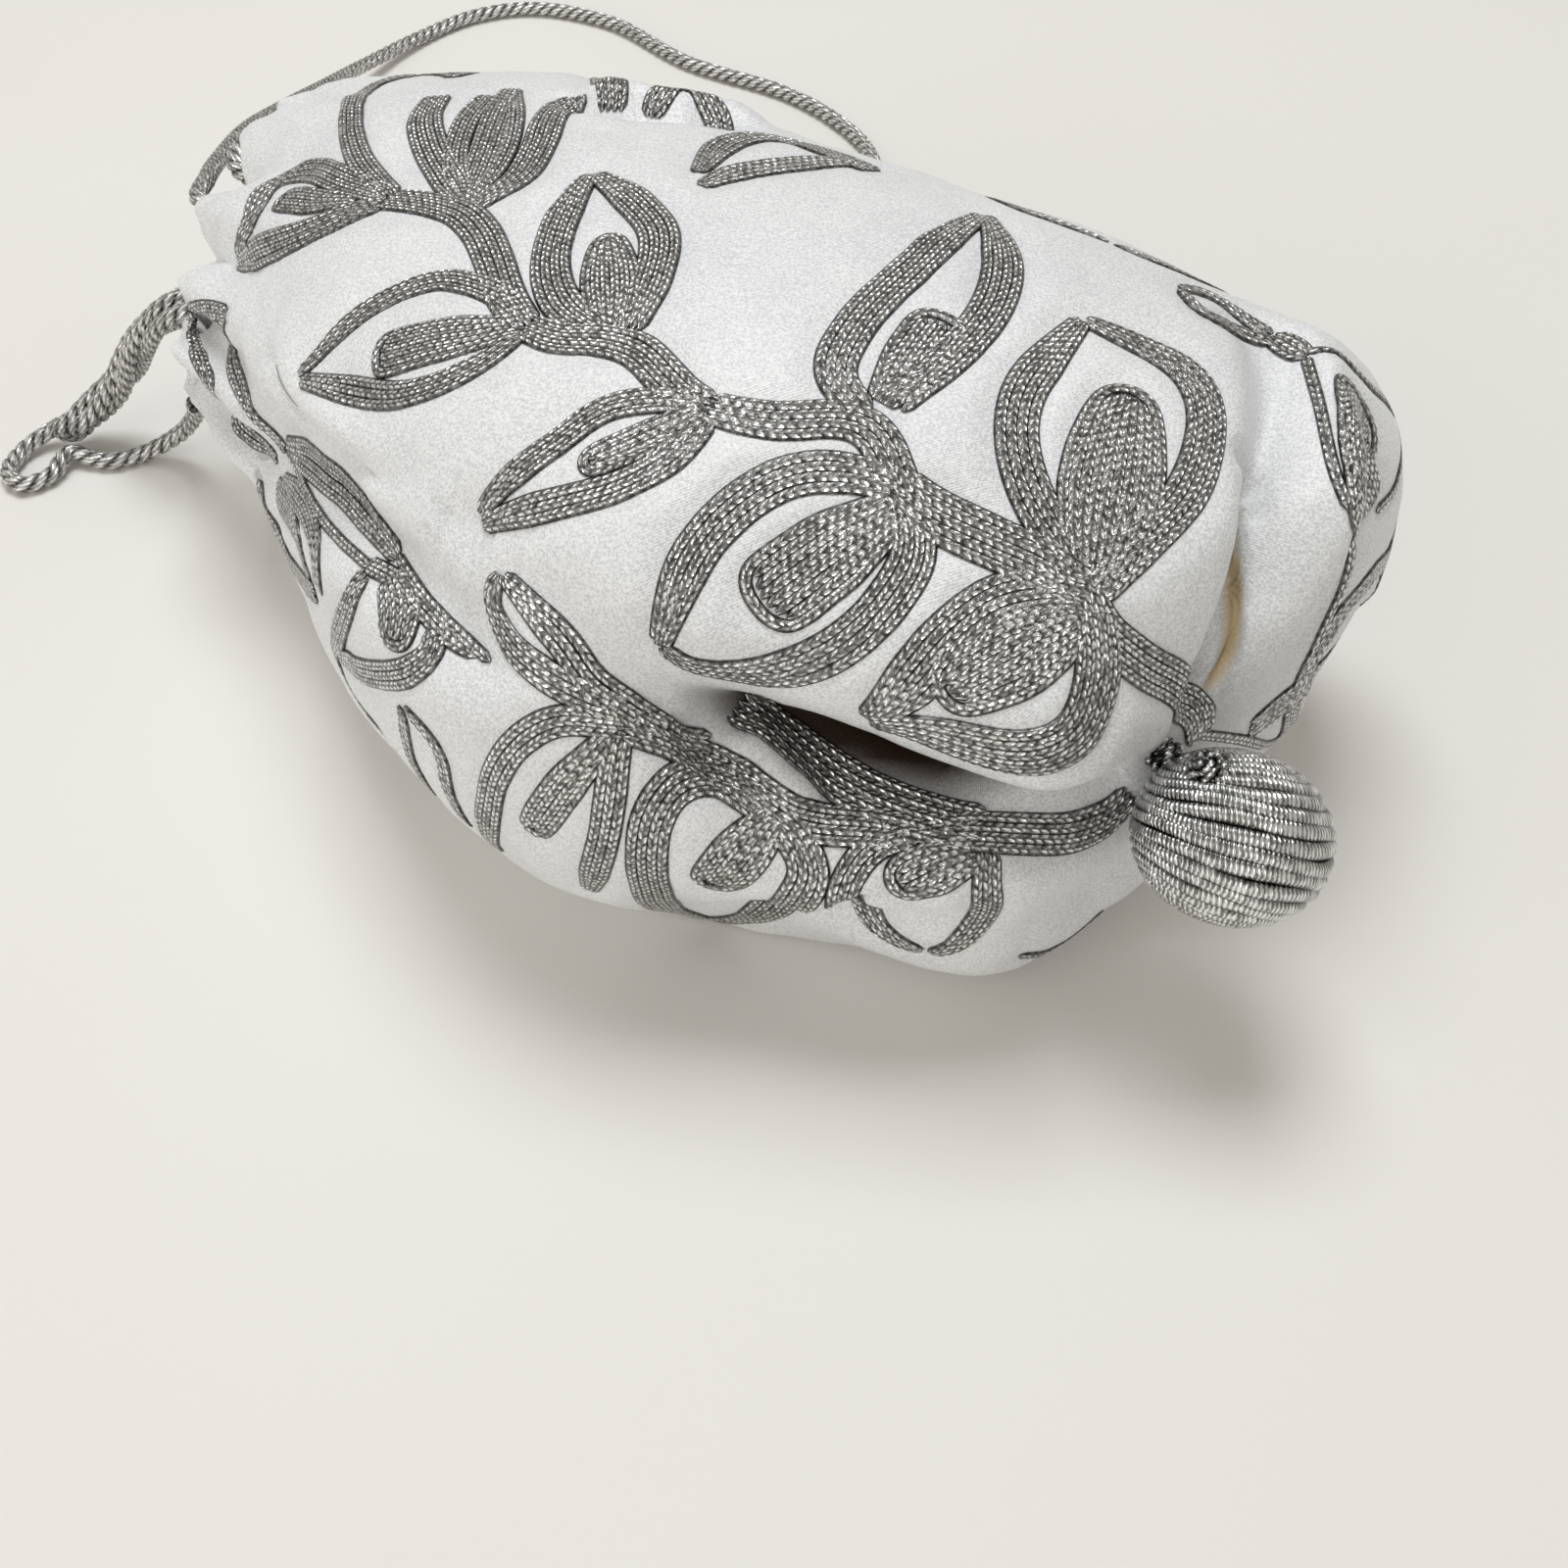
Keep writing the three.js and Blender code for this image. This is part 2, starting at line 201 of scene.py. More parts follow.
# Size, waves in a turn and shift from ring to ring
RING_SWAYS = [(0.02, 2, 2.1), (0.012, 5, 1.3)]
RING_SWELL = (0.1, 3, 1.7)
CLOSING_TURNS = (0.68, 0.4, 0.14)
CLOSING_HALF = 1.0
CORE_GAP = 0.9
CORE_ROWS = 21
CORE_SIDES = 24
# Coils: turns, points, travel along the axis, radius at both ends. Cords: diameter, plies, lay
SHANK_COIL = (3.2, 160, (-1.5, 4.2), (1.7, 1.7))
SHANK_CORD = (1.9, 2, 5)
KNOT_COIL = (2.3, 120, (BALL_RADIUS - 0.9, BALL_RADIUS + 0.5), (2.0, 0.7))
KNOT_CORD = (1.7, 2, 4)
KNOT_STEP = 0.4

# Embroidery strands
STRAND_PITCH = 1.25
STRAND_WIDE = 0.8
STRAND_HIGH = 0.32
STRAND_SIDES = 6
STRAND_STEP = 0.5
STRAND_LIFT = 0.5
STRAND_END = 0.35
STRAND_FADE = 3
# Rounds of smoothing of a line on the cloth, and of the normals there
LINE_ROUNDS = (6, 12)
STRAND_ROUNDS = (7, 8)
PRESS = 0.7
PRESS_REACH = 2.6
PRESS_SKIP = 3
# How far strands close up at the start and the stop of a band
VINE_ENDS = (0.8, 0.8)
LEAF_ENDS = (0.75, 0.3)
BAND_STATIONS = [0, 0.2, 0.75, 1]
# How far a bud opens, from its base to its end
BLUNT_BUD = ([0, 0.45, 0.8, 1], [0.4, 0.92, 1, 0.9])
ALMOND_BUD = ([0, 0.2, 0.4, 0.6, 0.8, 1], [0.4, 0.85, 1, 0.95, 0.72, 0.35])
BUD_STEPS = 36
BUD_TURN_STEPS = 40
BUD_ROUNDNESS = 0.8
BUD_GAP = 0.8
LONGEST_ROUND_END = 0.3

# Looks. The floor and the lights are in metres
# Metal tones from dark through middle to white: the dark end is partly painted shade, the middle the metal's
# own grey, the white end a painted highlight
SILVER = [(0.07, 0.07, 0.068), (0.4, 0.4, 0.395), (1.0, 1.0, 1.0)]
DULL_SILVER = [(0.08, 0.078, 0.074), (0.44, 0.435, 0.42), (1.0, 0.99, 0.97)]
BRIGHT_SILVER = [(0.05, 0.05, 0.045), (0.27, 0.27, 0.26), (1.0, 1.0, 1.0)]
BRAID_SHADE = (0.72, 0.7, 0.66, 1)
# Whites of the fine flecks, partly the weave's own mottle and partly painted sparkle
SATIN_WHITES = [(0.37, (0.69, 0.705, 0.725)), (0.5, (0.84, 0.855, 0.87)), (0.63, (0.96, 0.97, 0.975))]
# Painted warm tan shade for the end slit
SATIN_PAINTED_WARM_SHADE = (0.82, 0.68, 0.44, 1)
# Painted dark shade for the deep pocket and the lining
SATIN_PAINTED_SHADE = (0.035, 0.02, 0.012, 1)
TWILL_PITCH = 0.62
FLOOR_TONES = [(0.86, 0.84, 0.805, 1), (0.9, 0.885, 0.86, 1)]
FLOOR_SIZE = 40
LIGHTS = [
    # name, place, size, power, colour
    ("key", (-0.2, 0.2, 1.2), 0.6, 8.2, (0.96, 0.985, 1)),
    ("fill", (0.0, -1.1, 0.45), 0.9, 3.4, (1, 0.98, 0.95))]
LIGHT_TARGET = (0, 0, 0.03)
WORLD_COLOUR = (1, 0.95, 0.87, 1)
WORLD_STRENGTH = 0.38

SPLINE_SAMPLES = 24


def unit(vectors):
    return vectors / np.maximum(np.linalg.norm(vectors, axis=-1, keepdims=True), 1e-9)


def lengths_along(line):
    steps = np.linalg.norm(np.diff(line, axis=0), axis=1)
    return np.concatenate([[0], np.cumsum(steps)])


def at_lengths(values, run, at):
    """Values along a line where its run reaches the given lengths."""
    return np.stack([np.interp(at, run, values[:, axis]) for axis in range(3)], -1)


def resample(line, step):
    run = lengths_along(line)
    count = max(int(round(run[-1] / step)), 2)
    return at_lengths(line, run, np.linspace(0, run[-1], count + 1))


def smoothed(line, rounds):
    line = line.copy()
    for _ in range(rounds):
        line[1:-1] = (line[:-2] + 2 * line[1:-1] + line[2:]) / 4
    return line


def spline(points, step):
    """An even line through the points, with no overshoot where they crowd."""
    points = np.array(points, float)
    ends = np.vstack([2 * points[0] - points[1], points, 2 * points[-1] - points[-2]])
    line = []
    t = np.linspace(0, 1, SPLINE_SAMPLES, endpoint=False)[:, None]
    for a, b, c, d in zip(ends, ends[1:], ends[2:], ends[3:]):
        ab, bc, cd = (max(sqrt(np.linalg.norm(q - p)), 1e-4) for p, q in ((a, b), (b, c), (c, d)))
        start = ((b - a) / ab - (c - a) / (ab + bc) + (c - b) / bc) * bc
        stop = ((c - b) / bc - (d - b) / (bc + cd) + (d - c) / cd) * bc
        line.append((2 * t**3 - 3 * t**2 + 1) * b + (t**3 - 2 * t**2 + t) * start
                    + (3 * t**2 - 2 * t**3) * c + (t**3 - t**2) * stop)
    line.append(points[-1:])
    return resample(np.vstack(line), step)


def tangents(line):
    return unit(np.gradient(line, axis=0))


def raised(points, height=0):
    """Points, none lower than a height."""
    points[..., 2] = np.maximum(points[..., 2], height)
    return points


def sides_of(line, normals):
    """Directions along the cloth, square to a line on it."""
    return unit(np.cross(tangents(line), normals))


def carried_side(line):
    """A side direction carried along a line without turning about it."""
    along = tangents(line)
    side = np.cross(along[0], (0, 0, 1))
    sides = []
    for direction in along:
        side = side - direction * side.dot(direction)
        side = side / np.linalg.norm(side)
        sides.append(side)
    return np.array(sides)


def grid_quads(rows, columns):
    """Quads of a grid that closes on itself sideways."""
    row, column = np.divmod(np.arange((rows - 1) * columns), columns)
    here, after = row * columns + column, row * columns + (column + 1) % columns
    return np.stack([here, after, after + columns, here + columns], -1)


def grid_uvs(lengthwise, roundwise):
    """Texture places of those quads, from values for the rows and the columns' edges."""
    columns = len(roundwise) - 1
    i, k = np.divmod(np.arange((len(lengthwise) - 1) * columns), columns)
    corners = [(i, k), (i, k + 1), (i + 1, k + 1), (i + 1, k)]
    return np.stack([np.stack([lengthwise[row], roundwise[column]], -1) for row, column in corners], 1)


def grid_caps(rows, columns):
    """Quads that close the grid's first and last rows."""
    last = (rows - 1) * columns
    caps = []
    for j in range(columns // 2 - 1):
        cap = np.array([j, columns - 1 - j, columns - 2 - j, j + 1])
        caps += [cap, last + cap[::-1]]
    return np.array(caps)


def grid_normals(points):
    down = np.gradient(points, axis=0)
    across = np.roll(points, -1, axis=1) - np.roll(points, 1, axis=1)
    return unit(np.cross(across, down))


class Bundle:
    """Tubes gathered into one mesh."""

    def __init__(self):
        self.points, self.quads, self.uvs, self.count = [], [], [], 0

    def tube(self, line, side, up, wide, high, sides, mirrored=False):
        """A closed tube whose section is wide by high, given as radii along the line."""
        turn = np.arange(sides) * 2 * pi / sides
        wide, high = (np.broadcast_to(np.asarray(size, float), len(line)) for size in (wide, high))
        points = (line[:, None] + side[:, None] * (wide[:, None] * np.cos(turn))[..., None]
                  + up[:, None] * (high[:, None] * np.sin(turn))[..., None])
        run = lengths_along(line) * MM
        caps = grid_caps(len(line), sides)
        cap_uvs = np.stack([np.where(caps < sides, 0, run[-1]), np.zeros(caps.shape)], -1)
        uvs = np.concatenate([grid_uvs(run, np.arange(sides + 1) / sides), cap_uvs])
        if mirrored:
            uvs[..., 1] = 0.5 - uvs[..., 1]
        self.points.append(points.reshape(-1, 3))
        self.quads.append(np.vstack([grid_quads(len(line), sides), caps]) + self.count)
        self.uvs.append(uvs)
        self.count += len(line) * sides

    def rope(self, line, diameter, plies, lay):
        """Plies laid round a line. The section of each is a little oval."""
        side = carried_side(line)
        up = np.cross(side, tangents(line))
        run = lengths_along(line)
        ply = diameter * PLY_SHARE
        for number in range(plies):
            turn = (2 * pi * (run / lay + number / plies))[:, None]
            away = side * np.cos(turn) + up * np.sin(turn)
            strand = line + away * (diameter / 2 - ply)
            along = tangents(strand)
            across = unit(np.cross(along, away))
            self.tube(strand, across, np.cross(across, along), ply * PLY_OVAL, ply, ROPE_SIDES)

    def make(self, name, material):
        points, quads = np.vstack(self.points), np.vstack(self.quads)
        return make_mesh(name, points, quads, material, np.concatenate(self.uvs))


def make_mesh(name, points, quads, material, uvs):
    mesh = bpy.data.meshes.new(name)
    mesh.vertices.add(len(points))
    mesh.vertices.foreach_set("co", (points * MM).astype(np.float32).ravel())
    mesh.loops.add(quads.size)
    mesh.loops.foreach_set("vertex_index", quads.astype(np.int32).ravel())
    mesh.polygons.add(len(quads))
    mesh.polygons.foreach_set("loop_start", np.arange(0, quads.size, 4, dtype=np.int32))
    mesh.update(calc_edges=True)
    mesh.uv_layers.new(name="UVMap").data.foreach_set("uv", uvs.astype(np.float32).ravel())
    mesh.polygons.foreach_set("use_smooth", np.ones(len(quads), bool))
    mesh.materials.append(material)
    piece = bpy.data.objects.new(name, mesh)
    bpy.context.collection.objects.link(piece)
    return piece


# Materials
class Paint:
    """A material's nodes, each made with its inputs."""

    def __init__(self, name):
        self.material = bpy.data.materials.new(name)
        self.material.use_nodes = True
        self.nodes = self.material.node_tree.nodes
        self.links = self.material.node_tree.links
        self.shader = self.nodes["Principled BSDF"]

    def node(self, kind, **inputs):
        made = self.nodes.new(kind)
        for key, value in inputs.items():
            self.feed(made.inputs[key.replace("_", " ")], value)
        return made

    def feed(self, socket, value):
        if isinstance(value, bpy.types.NodeSocket):
            self.links.new(value, socket)
        else:
            socket.default_value = value

    def times(self, first, second):
        return self.math("MULTIPLY", first, second)

    def math(self, operation, first, second=0.0):
        made = self.nodes.new("ShaderNodeMath")
        made.operation = operation
        self.feed(made.inputs[0], first)
        self.feed(made.inputs[1], second)
        return made.outputs[0]

    def ramp(self, factor, stops):
        made = self.node("ShaderNodeValToRGB", Fac=factor)
        elements = made.color_ramp.elements
        while len(elements) < len(stops):
            elements.new(0.5)
        for element, (place, colour) in zip(elements, stops):
            element.position = place
            element.color = (*colour, 1)
        return made.outputs["Color"]

    def mix(self, factor, first, second, blend="MIX"):
        made = self.nodes.new("ShaderNodeMix")
        made.data_type = "RGBA"
        made.blend_type = blend
        # A mix node's colours are its inputs 6 and 7 and its output 2
        self.feed(made.inputs[0], factor)
        self.feed(made.inputs[6], first)
        self.feed(made.inputs[7], second)
        return made.outputs[2]

    def texture_place(self):
        """Along and across, from the texture's own places."""
        mapped = self.node("ShaderNodeUVMap").outputs[0]
        return self.node("ShaderNodeSeparateXYZ", Vector=mapped).outputs[:2]

    def noise(self, scale, detail):
        spot = self.node("ShaderNodeTexCoord").outputs["Object"]
        return self.node("ShaderNodeTexNoise", Vector=spot, Scale=scale, Detail=detail).outputs[0]

    def layer(self, name):
        made = self.node("ShaderNodeAttribute")
        made.attribute_name = name
        return made.outputs["Fac"]

    def weighted(self, *terms):
        """The sum of values, each times its weight."""
        total = self.times(*terms[0])
        for value, weight in terms[1:]:
            total = self.math("ADD", total, self.times(value, weight))
        return total

    def wave(self, phase):
        """A sine wave between 0 and 1."""
        return self.math("ADD", self.times(self.math("SINE", phase), 0.5), 0.5)

    def bump(self, height, strength, depth):
        return self.node("ShaderNodeBump", Height=height, Strength=strength, Distance=depth * MM).outputs[0]

    def finish(self, **inputs):
        for key, value in inputs.items():
            self.feed(self.shader.inputs[key.replace("_", " ")], value)
        return self.material


def braided_metal(name, plait, tones, roughness, metallic, relief):
    """Flat braid: two rows of slanting stitches, each given a painted white glint or left dull by chance."""
    dark, middle, light = tones
    paint = Paint(name)
    along, around = paint.texture_place()
    uneven = paint.noise(scale=1500.0, detail=1.0)
    chance = paint.noise(scale=1100.0, detail=0.0)
    bright = paint.node("ShaderNodeMapRange", Value=chance, From_Min=0.38, From_Max=0.54).outputs[0]
    cloudy = paint.noise(scale=40.0, detail=1.0)
    across = paint.math("COSINE", paint.times(around, 2 * pi))
    aside = paint.math("ABSOLUTE", across)
    second_row = paint.math("GREATER_THAN", across, 0.0)
    phase = paint.weighted((along, 2 * pi / (plait * MM)), (second_row, pi), (aside, 2.6), (uneven, 3.5))
    row = paint.math("MAXIMUM", paint.math("SINE", paint.times(aside, 1.25 * pi)), 0.0)
    rounded = paint.math("POWER", paint.wave(phase), 0.8)
    stitch = paint.times(rounded, paint.math("POWER", row, 1.4))
    # Painted glints: stitches picked by chance turn white as highlights
    painted_glints = paint.times(stitch, bright)
    painted_shine = paint.weighted((stitch, 0.25), (painted_glints, 0.65), (uneven, 0.3))
    # Tone runs from dark between the stitches and at the strand's edges, partly the braid's own pattern and
    # partly painted shade, to painted white glints
    tone = paint.ramp(painted_shine, [(0.12, dark), (0.26, middle), (0.36, middle), (0.48, light)])
    colour = paint.mix(paint.times(cloudy, 0.5), tone, BRAID_SHADE, "MULTIPLY")
    gloss = paint.math("SUBTRACT", roughness + 0.25, paint.times(painted_shine, 0.4))
    normal = paint.bump(stitch, strength=0.8, depth=relief)
    return paint.finish(Base_Color=colour, Roughness=gloss, Metallic=metallic, Normal=normal)


def twisted_metal(name, period, slant, tones, roughness, metallic):
    """Bright cord, twisted so that fine slanting lines cross every ridge. The outward side of each tube is
    painted lighter as a highlight, the other side darker as shade.
    """
    paint = Paint(name)
    along, across = paint.texture_place()
    uneven = paint.noise(scale=700.0, detail=2.0)
    around = paint.times(across, 2 * pi)
    wave = paint.wave(paint.weighted((along, 2 * pi / (period * MM)), (around, slant), (uneven, 7.0)))
    # Painted highlight on the outward half of each tube, painted shade on the other half
    lifted = paint.math("MAXIMUM", paint.math("SINE", around), 0.0)
    painted_shine = paint.weighted((lifted, 0.45), (wave, 0.2), (uneven, 0.5))
    tone = paint.ramp(painted_shine, list(zip((0.35, 0.68, 0.88), tones)))
    normal = paint.bump(paint.math("ADD", wave, uneven), strength=0.7, depth=0.2)
    return paint.finish(Base_Color=tone, Roughness=roughness, Metallic=metallic, Normal=normal)


def satin(name):
    """White cloth with a fine twill, painted a warm tan shade or a dark shade where its layers say so."""
    paint = Paint(name)
    diagonal = paint.math("ADD", *paint.texture_place())
    twill = paint.math("SINE", paint.times(diagonal, 2 * pi / (TWILL_PITCH * MM)))
    # Fine flecks, partly the weave's own mottle and partly painted sparkle; they also set the bump and the
    # gloss
    speck_and_sparkle = paint.noise(scale=3000.0, detail=1.0)
    cloudy = paint.noise(scale=60.0, detail=3.0)
    white = paint.ramp(paint.weighted((cloudy, 0.2), (speck_and_sparkle, 0.8)), SATIN_WHITES)
    # Painted warm tan shade in the end slit, then painted dark shade deep in the pocket and on the lining
    warm_shaded = paint.mix(paint.layer("painted_warm_shade"), white, SATIN_PAINTED_WARM_SHADE)
    colour = paint.mix(paint.layer("painted_dark_shade"), warm_shaded, SATIN_PAINTED_SHADE)
    normal = paint.bump(paint.weighted((twill, 0.15), (speck_and_sparkle, 1.0)), strength=0.5, depth=0.16)
    gloss = paint.math("ADD", paint.times(speck_and_sparkle, 0.3), 0.27)
    return paint.finish(Base_Color=colour, Roughness=gloss, Sheen_Weight=0.25, Sheen_Roughness=0.4,
                        Specular_IOR_Level=0.55, Normal=normal)


def floor_paint(name):
    paint = Paint(name)
    colour = paint.mix(paint.noise(scale=6.0, detail=2.0), *FLOOR_TONES)
    return paint.finish(Base_Color=colour, Roughness=0.6, Specular_IOR_Level=0.25)


SATIN = satin("white_satin")
COUCHING = braided_metal(
    "silver_couching", plait=1.25, tones=SILVER, roughness=0.2, metallic=0.8, relief=0.28)
DRAWSTRING = twisted_metal(
    "silver_drawstring", period=0.9, slant=8.0, tones=DULL_SILVER, roughness=0.36, metallic=0.75)
WINDING = twisted_metal(
    "silver_winding", period=0.6, slant=2.0, tones=BRIGHT_SILVER, roughness=0.22, metallic=0.95)


# Camera
def pixel_ray(pixel):
    """The direction in which the camera sees a pixel of the photo."""
    turn, lift = radians(CAMERA_AZIMUTH), radians(CAMERA_ELEVATION)
    right = np.array([cos(turn), sin(turn), 0])
    up = np.array([-sin(turn) * sin(lift), cos(turn) * sin(lift), cos(lift)])
    ahead = np.cross(up, right)
    half = IMAGE_SIZE / 2
    return unit(ahead + right * (pixel[0] - half) / FOCAL_PIXELS - up * (pixel[1] - half) / FOCAL_PIXELS)


def add_camera():
    camera = bpy.data.objects.new("camera", bpy.data.cameras.new("camera"))
    bpy.context.collection.objects.link(camera)
    camera.location = CAMERA_PLACE * MM
    camera.rotation_euler = (radians(90 - CAMERA_ELEVATION), 0, radians(CAMERA_AZIMUTH))
    camera.data.angle = 2 * atan(IMAGE_SIZE / 2 / FOCAL_PIXELS)
    camera.data.clip_start = CAMERA_CLIP * MM
    bpy.context.scene.camera = camera


add_camera()


# Cords
def add_cord(name, nodes, line):
    bundle = Bundle()
    bundle.rope(line, CORD_DIAMETER, CORD_PLIES, CORD_LAY)
    piece = bundle.make(name, DRAWSTRING)
    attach(piece, "root")
    if nodes:
        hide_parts(*nodes)


def hank_line(first_turn, short):
    """A cord that runs down the hank, turns back in a round eye some steps short and runs up again."""
    middle = spline(HANK_ROUTE, HANK_STEP)
    middle = middle[:len(middle) - short]
    side = carried_side(middle)
    up = np.cross(side, tangents(middle))
    run = lengths_along(middle)
    wide, high = (HANK_WIDTH - CORD_DIAMETER) / 2, (HANK_HEIGHT - CORD_DIAMETER) / 2

    def lane(turn):
        angle = (turn + 2 * pi * run / HANK_TURN)[:, None]
        return middle + side * np.cos(angle) * wide + up * np.sin(angle) * high

    down, back = lane(first_turn), lane(first_turn + pi)
    centre = (down[-1] + back[-1]) / 2
    out = (down[-1] - centre) * EYE_SPREAD
    bend = np.linspace(0, pi, EYE_POINTS)[1:-1, None]
    ahead = tangents(middle)[-1] * (EYE_LEAD + np.linalg.norm(out) * np.sin(bend))
    eye = raised(centre + out * np.cos(bend) + ahead, CORD_DIAMETER / 2)
    first = (len(middle) - 1) % HANK_SKIP
    there, again = down[first::HANK_SKIP], back[first::HANK_SKIP][::-1]
    return spline(np.vstack([there, eye, again]), CORD_STEP)


add_cord("handle_rope", ["handle_cord"], spline(HANDLE_ROUTE, CORD_STEP))
add_cord("tail_rope_outer", ["tail_hank"], hank_line(HANK_START, 0))
add_cord("tail_rope_inner", [], hank_line(HANK_START + pi / 2, INNER_SHORT))
add_cord("tail_rope_single", ["tail_loop", "tail_strand"], spline(TAIL_ROUTE, CORD_STEP))


# Pouch surface
def smooth_columns(at, rows, places):
    """Every column of a table as a smooth curve, at each place."""
    at, rows, places = np.array(at, float), np.array(rows, float), np.asarray(places, float)
    gap = np.diff(at)[:, None]
    rise = np.diff(rows, axis=0) / gap
    inner = (rise[:-1] * gap[1:] + rise[1:] * gap[:-1]) / (gap[1:] + gap[:-1])
    slope = np.vstack([rise[:1], inner, rise[-1:]])
    i = np.clip(np.searchsorted(at, places, side="right") - 1, 0, len(at) - 2)
    span = (at[i + 1] - at[i])[..., None]
    t = (places - at[i])[..., None] / span
    return ((1 + 2 * t) * (1 - t) ** 2 * rows[i] + t * (1 - t) ** 2 * span * slope[i]
            + t * t * (3 - 2 * t) * rows[i + 1] + t * t * (t - 1) * span * slope[i + 1])


def smooth_pouch(along, around):
    """A point of the pouch before its folds. Around is in radians: 0 far, a quarter turn on top."""
    table = np.array(SECTIONS, float)
    columns = smooth_columns(table[:, 0], table[:, 1:], along)
    x, y, yaw, half, low, high, square = np.moveaxis(columns, -1, 0)
    power = 2 / square
    across = np.maximum(half, 0) * np.sign(np.cos(around)) * np.abs(np.cos(around)) ** power
    rise = np.maximum(high - low, 0) / 2 * np.sign(np.sin(around)) * np.abs(np.sin(around)) ** power
    yaw = np.radians(yaw)
    return np.stack([x - np.sin(yaw) * across, y + np.cos(yaw) * across, (low + high) / 2 + rise], -1)


def smooth_normal(along, around):
    ahead = np.minimum(along + SLOPE_STEP, LAST_SLOPE)
    behind = np.clip(along - SLOPE_STEP, 0, ahead - SLOPE_STEP)
    lengthwise = smooth_pouch(ahead, around) - smooth_pouch(behind, around)
    level = np.minimum(along, LAST_SLOPE)
    roundwise = smooth_pouch(level, around + SLOPE_STEP) - smooth_pouch(level, around - SLOPE_STEP)
    return unit(np.cross(roundwise, lengthwise))


def fold_samples(rows):
    places = np.linspace(0, len(rows) - 1, FOLD_SAMPLES * (len(rows) - 1) + 1)
    samples = smooth_columns(np.arange(len(rows)), [(*row, 0)[:5] for row in rows], places)
    points = smooth_pouch(samples[:, 0], np.radians(samples[:, 1]))
    steps = np.linalg.norm(np.diff(points, axis=0), axis=1)
    run = (np.concatenate([[0], steps]) + np.concatenate([steps, [0]])) / 2
    return points, samples, run


def lumps(around):
    """How full the cloth is between the gathers, from 0 to 1."""
    return np.abs(np.cos(GATHER_COUNT / 2 * around + GATHER_UNEVEN / 2 * np.sin(2 * around)))


def cloth(along, around):
    """Points of the folded cloth, and how far each named fold pushes them in or out."""
    along, around = np.broadcast_arrays(np.asarray(along, float), np.asarray(around, float))
    points, normals = smooth_pouch(along, around), smooth_normal(along, around)
    pushes = {name: np.zeros(along.shape) for name in FOLDS}
    sag = np.zeros(along.shape)
    for name, rows in FOLDS.items():
        for place, (_, _, out, reach, down), run in zip(*fold_samples(rows)):
            share = run / (sqrt(pi) * reach) * np.exp(-((points - place) ** 2).sum(-1) / reach**2)
            pushes[name] += out * share
            sag += down * share
    gather = np.maximum(1 - along / GATHER_RUN, 0) ** GATHER_FADE
    pleat = np.cos(GATHER_COUNT * around + GATHER_UNEVEN * np.sin(2 * around))
    puff = PUFF_HEIGHT * np.exp(-(along / PUFF_RUN) ** 2) * (lumps(around) - PUFF_MEAN)
    push = sum(pushes.values()) + GATHER_DEPTH * gather * pleat + puff
    folded = points + normals * push[..., None]
    folded[..., 2] -= sag
    return raised(folded), pushes


place_rows = np.linspace(0, 1, OUTER_ROWS) ** ROW_CROWDING * LAST_ROW
angles = np.arange(COLUMNS) * 2 * pi / COLUMNS
outer, fold_pushes = cloth(place_rows[:, None], angles[None, :])


def rolled_rim(points):
    """Rows that carry the cloth on past the rim and turn it in."""
    inward = -grid_normals(points)[0]
    onward = unit(points[0] - points[2])
    turn = np.radians(np.linspace(ROLL_TURN, 0, ROLL_ROWS, endpoint=False))[:, None, None]
    radius = (ROLL_RADIUS * (ROLL_LEAST + ROLL_LUMP * lumps(angles)))[None, :, None]
    return points[0] + radius * (onward * np.sin(turn) + inward * (1 - np.cos(turn)))


outer = np.vstack([rolled_rim(outer), outer])
place_rows = np.concatenate([np.linspace(-ROLL_RUN, 0, ROLL_ROWS, endpoint=False), place_rows])
flat_roll = np.zeros((ROLL_ROWS, COLUMNS))
fold_pushes = {name: np.vstack([flat_roll, push]) for name, push in fold_pushes.items()}


def tree_of(points):
    quads = grid_quads(*points.shape[:2])
    return BVHTree.FromPolygons([Vector(p) for p in points.reshape(-1, 3)], quads.tolist())


def on_cloth(line, line_rounds, normal_rounds):
    """A line laid on the cloth, and the cloth's normals there, both smoothed along it."""
    hits = [cloth_tree.find_nearest(Vector(point)) for point in line]
    places, normals = (np.array([hit[part] for hit in hits]) for part in (0, 1))
    return smoothed(places, line_rounds), unit(smoothed(normals, normal_rounds))


def spot(place):
    """A place on the cloth, given as a pixel of the photo or as along and degrees around."""
    if place[0] <= 1:
        return cloth(place[0], radians(place[1]))[0]
    ray = pixel_ray(place)
    hit = cloth_tree.ray_cast(Vector(CAMERA_PLACE), Vector(ray))[0]
    if hit is not None:
        return np.array(hit)
    near = [cloth_tree.find_nearest(Vector(CAMERA_PLACE + ray * far)) for far in SIGHT_STEPS]
    return np.array(min(near, key=lambda found: found[3])[0])


def cloth_line(places, step=STRAND_STEP):
    """A line on the cloth through places, and its sideways directions."""
    line, normals = on_cloth(spline([spot(place) for place in places], step), *LINE_ROUNDS)
    return line, sides_of(line, normals)


